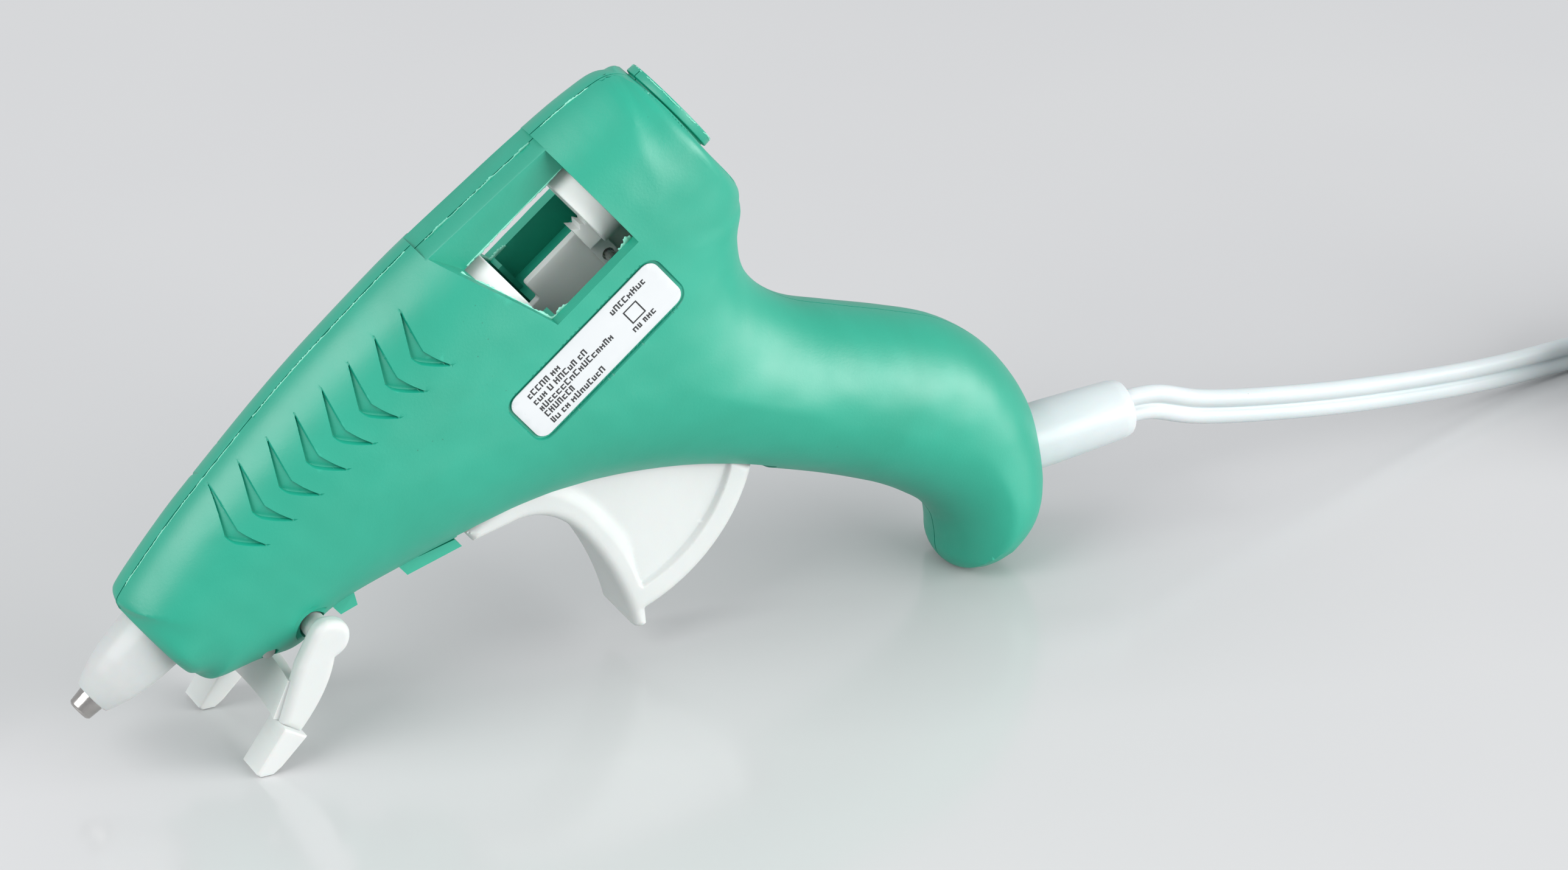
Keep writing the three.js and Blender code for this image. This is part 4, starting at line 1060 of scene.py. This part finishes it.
placed("trigger", trigger_solid(), WHITE, "trigger", 40)

# ---------- the strain relief ----------
points, faces = revolve(
    [(-7, 0.01), (-7, 5.7), (-5.6, 5.7), (-5.6, 4.9), (2, 4.9), (8, 4.72), (13.6, 4.5), (15, 4.15),
     (RELIEF_OUT, 3.3), (RELIEF_OUT, 0.01)], 96, 0.35)
placed("strain_relief", (turned(points, RELIEF_ANGLE, RELIEF_AT), faces), VINYL, sharp=50)


# ---------- the stand ----------
ARM_Y, FOOT_Y, HUB_R = (9.2, 12.2), (7.92, 13.35), 1.85


def web_solid():
    """The bowed plate that joins the two arms, leaning with them."""
    half, lean, bow, thickness = ARM_Y[0] + 1.4, math.atan2(2.6, 5.9), 2.0, 1.15
    t = np.linspace(0, 1, 25)
    hump = 4 * t * (1 - t)
    front = np.column_stack([hump * bow, half * (2 * t - 1)])
    rear = front[::-1] - np.column_stack([thickness + 0.85 * hump, 0 * t])
    loop = np.vstack([front, rear])
    c, s = math.cos(lean), math.sin(lean)
    points = [(x * c + z * s - 4.5, y, -x * s + z * c - 6.3) for z in (-6.0, 0.0) for x, y in loop]
    return facing_out((points, ring_faces(len(loop))))


def stand_solid():
    """Drawn upright about its pivot, in millimetres."""
    arm = [(-4.5, -14)] + bend((-4.5, -14), (0.3, -8.6), (1.3, -3.3))
    arm += bend((1.3, -3.3), (3.9, -2.2), (3.6, 0.4)) + bend((3.6, 0.4), (3.1, 2.6), (0.2, 2.6))
    arm += bend((0.2, 2.6), (-1.2, 2.4), (-2, 1)) + [(-4.3, -3.4), (-7.2, -11.9)]
    foot = [(-11.75, -18.1), (-11.3, -18.6), (-9.3, -18.6), (-8, -17.7), (-4, -13.8), (-7.25, -11.8)]
    parts = []
    for side in (-1, 1):
        parts += [
            plate(arm, sided(side, *ARM_Y), 1.1, 0.5, 0.3),
            plate(foot, sided(side, *FOOT_Y), 0.3, 0.6, 0.3),
            rod((0, 0), HUB_R, sided(side, 4, 10.2))]
    return combine(parts[0], [(JOIN, part) for part in (*parts[1:], web_solid())])


placed("stand", stand_solid(), WHITE, "stand", 40, upright)


# ---------- the label ----------
PRINT_Y = (-12.062, -12.03)
label_loop = round_box(LABEL_X, LABEL_Z, LABEL_CORNER)
placed("label", plate(label_loop, (-12.05, -11.85), 0.05, 1.2, 0.4), PAPER)


def printed_lines():
    """Lines of small unreadable blocks, as print is at this size."""
    rng = np.random.default_rng(11)
    lines = [(74.9, -9.6, 6.3), (74.9, -11.05, 9.9), (74.9, -12.5, 14.3), (74.9, -13.85, 5.3),
             (74.9, -15.3, 10.8), (91.2, -9.7, 6.4), (91.8, -14.5, 4.7)]
    stroke, height = 0.23, 1.05
    parts = []
    for x, z, length in lines:
        at = x
        while at < x + length - 0.4:
            width = rng.choice([0.56, 0.64, 0.72])
            tall = height if rng.random() < 0.45 else height * 0.76
            kind = rng.integers(4)
            uprights = [at] if kind == 0 else [at, at + width - stroke]
            levels = ([0, tall - stroke], [0], [tall - stroke], [tall * 0.45])[kind]
            for u in uprights:
                parts.append(box_part((u, u + stroke), PRINT_Y, (z, z + tall)))
            bar_x, bar_y = (at + 0.01, at + width - 0.01), (PRINT_Y[0] + 0.004, PRINT_Y[1])
            for v in levels:
                parts.append(box_part(bar_x, bar_y, (z + v, z + v + stroke)))
            at += width + (0.17 if rng.random() > 0.14 else 0.55)
    return merge(*parts)


def square_mark():
    return combine(box_part((92.4, 95.0), PRINT_Y, (-13.2, -10.6)), [
        (CUT, box_part((92.62, 94.78), (-13, -11), (-12.98, -10.82)))])


print_points, print_faces = merge(printed_lines(), square_mark())
print_piece = mesh_piece("label_print", row(print_points), print_faces, INK, "gun", 30)


# ---------- screws ----------
def screw_solid(at):
    """A pan-head screw with a cross, driven along y from the right side."""
    seat = surface_at(at) - 2.85
    points, faces = revolve(
        [(seat, 0.01), (seat, 2.1), (seat + 1.1, 2.1), (seat + 1.55, 1.5), (seat + 1.6, 0.01)], 48, 0.2)
    head = facing_out((np.column_stack([at[0] + points[:, 1], points[:, 0], at[1] + points[:, 2]]), faces))
    steps = [(JOIN, rod(at, 1.1, (-5.5, seat + 0.5)))]
    x, z = at
    for a, b in ((1.3, 0.28), (0.28, 1.3)):
        steps.append((CUT, box_part((x - a, x + a), (seat + 0.7, seat + 3), (z - b, z + b))))
    return combine(head, steps)


for number, at in enumerate(SCREWS, 1):
    placed(f"shell_screw_{number}", screw_solid(at), STEEL)

# ---------- the CAD's own meshes that stay ----------
KEPT = {
    CERAMIC: ["heating_element"],
    STEEL: ["heater_clip", "trigger_pin", "trigger_spring", "jaw_pin"],
    VINYL: ["lead_wire_1", "lead_wire_2", "cord_inner", "plug_body"],
    BRASS: ["crimp_1", "crimp_2", "plug_blade_1", "plug_blade_2"],
    WHITE: ["cord_clamp", "cord_tie"],
}
for material, names in KEPT.items():
    for name in names:
        mesh = bpy.data.objects[name].data
        mesh.materials.clear()
        mesh.materials.append(material)
        mesh.shade_smooth()
        mesh.set_sharp_from_angle(angle=math.radians(35))


# ---------- stage ----------
def floor_material():
    m = Nodes("pale_gloss_floor", linear(198, 198, 198), 0.22, Specular_IOR_Level=0.5)
    return m.surface(
        m.blend(m.ramp(m.noise(6, 3), 0.3, 0.7), linear(196, 196, 197), linear(200, 200, 200)),
        m.ramp(m.noise(14, 4), 0.3, 0.7, 0.12, 0.2), [(m.noise(35, 3), 0.1)], 0.0003)


bpy.ops.mesh.primitive_plane_add(size=8, location=(0, 0, -0.00005))
floor = bpy.context.object
floor.name = "studio_floor"
floor.data.materials.append(floor_material())


def area_light(name, place, size, power):
    """A soft light aimed at the gun; size is its width and height in metres, power in watts."""
    data = bpy.data.lights.new(name, "AREA")
    data.shape = "RECTANGLE"
    data.size, data.size_y = size
    data.energy = power
    aimed(bpy.data.objects.new(name, data), place, Vector((0.02, 0, 0.03)))


world = bpy.data.worlds.new("studio")
world.use_nodes = True
world.node_tree.nodes["Background"].inputs["Color"].default_value = (0.95, 0.97, 1, 1)
world.node_tree.nodes["Background"].inputs["Strength"].default_value = 0.65
bpy.context.scene.world = world
area_light("left_softbox", (-0.98, -0.1, 0.87), (1.25, 0.75), 12.5)
area_light("right_softbox", (1.0, -1.02, 0.44), (1.75, 0.8), 28)
bpy.context.scene.view_settings.view_transform = "Standard"
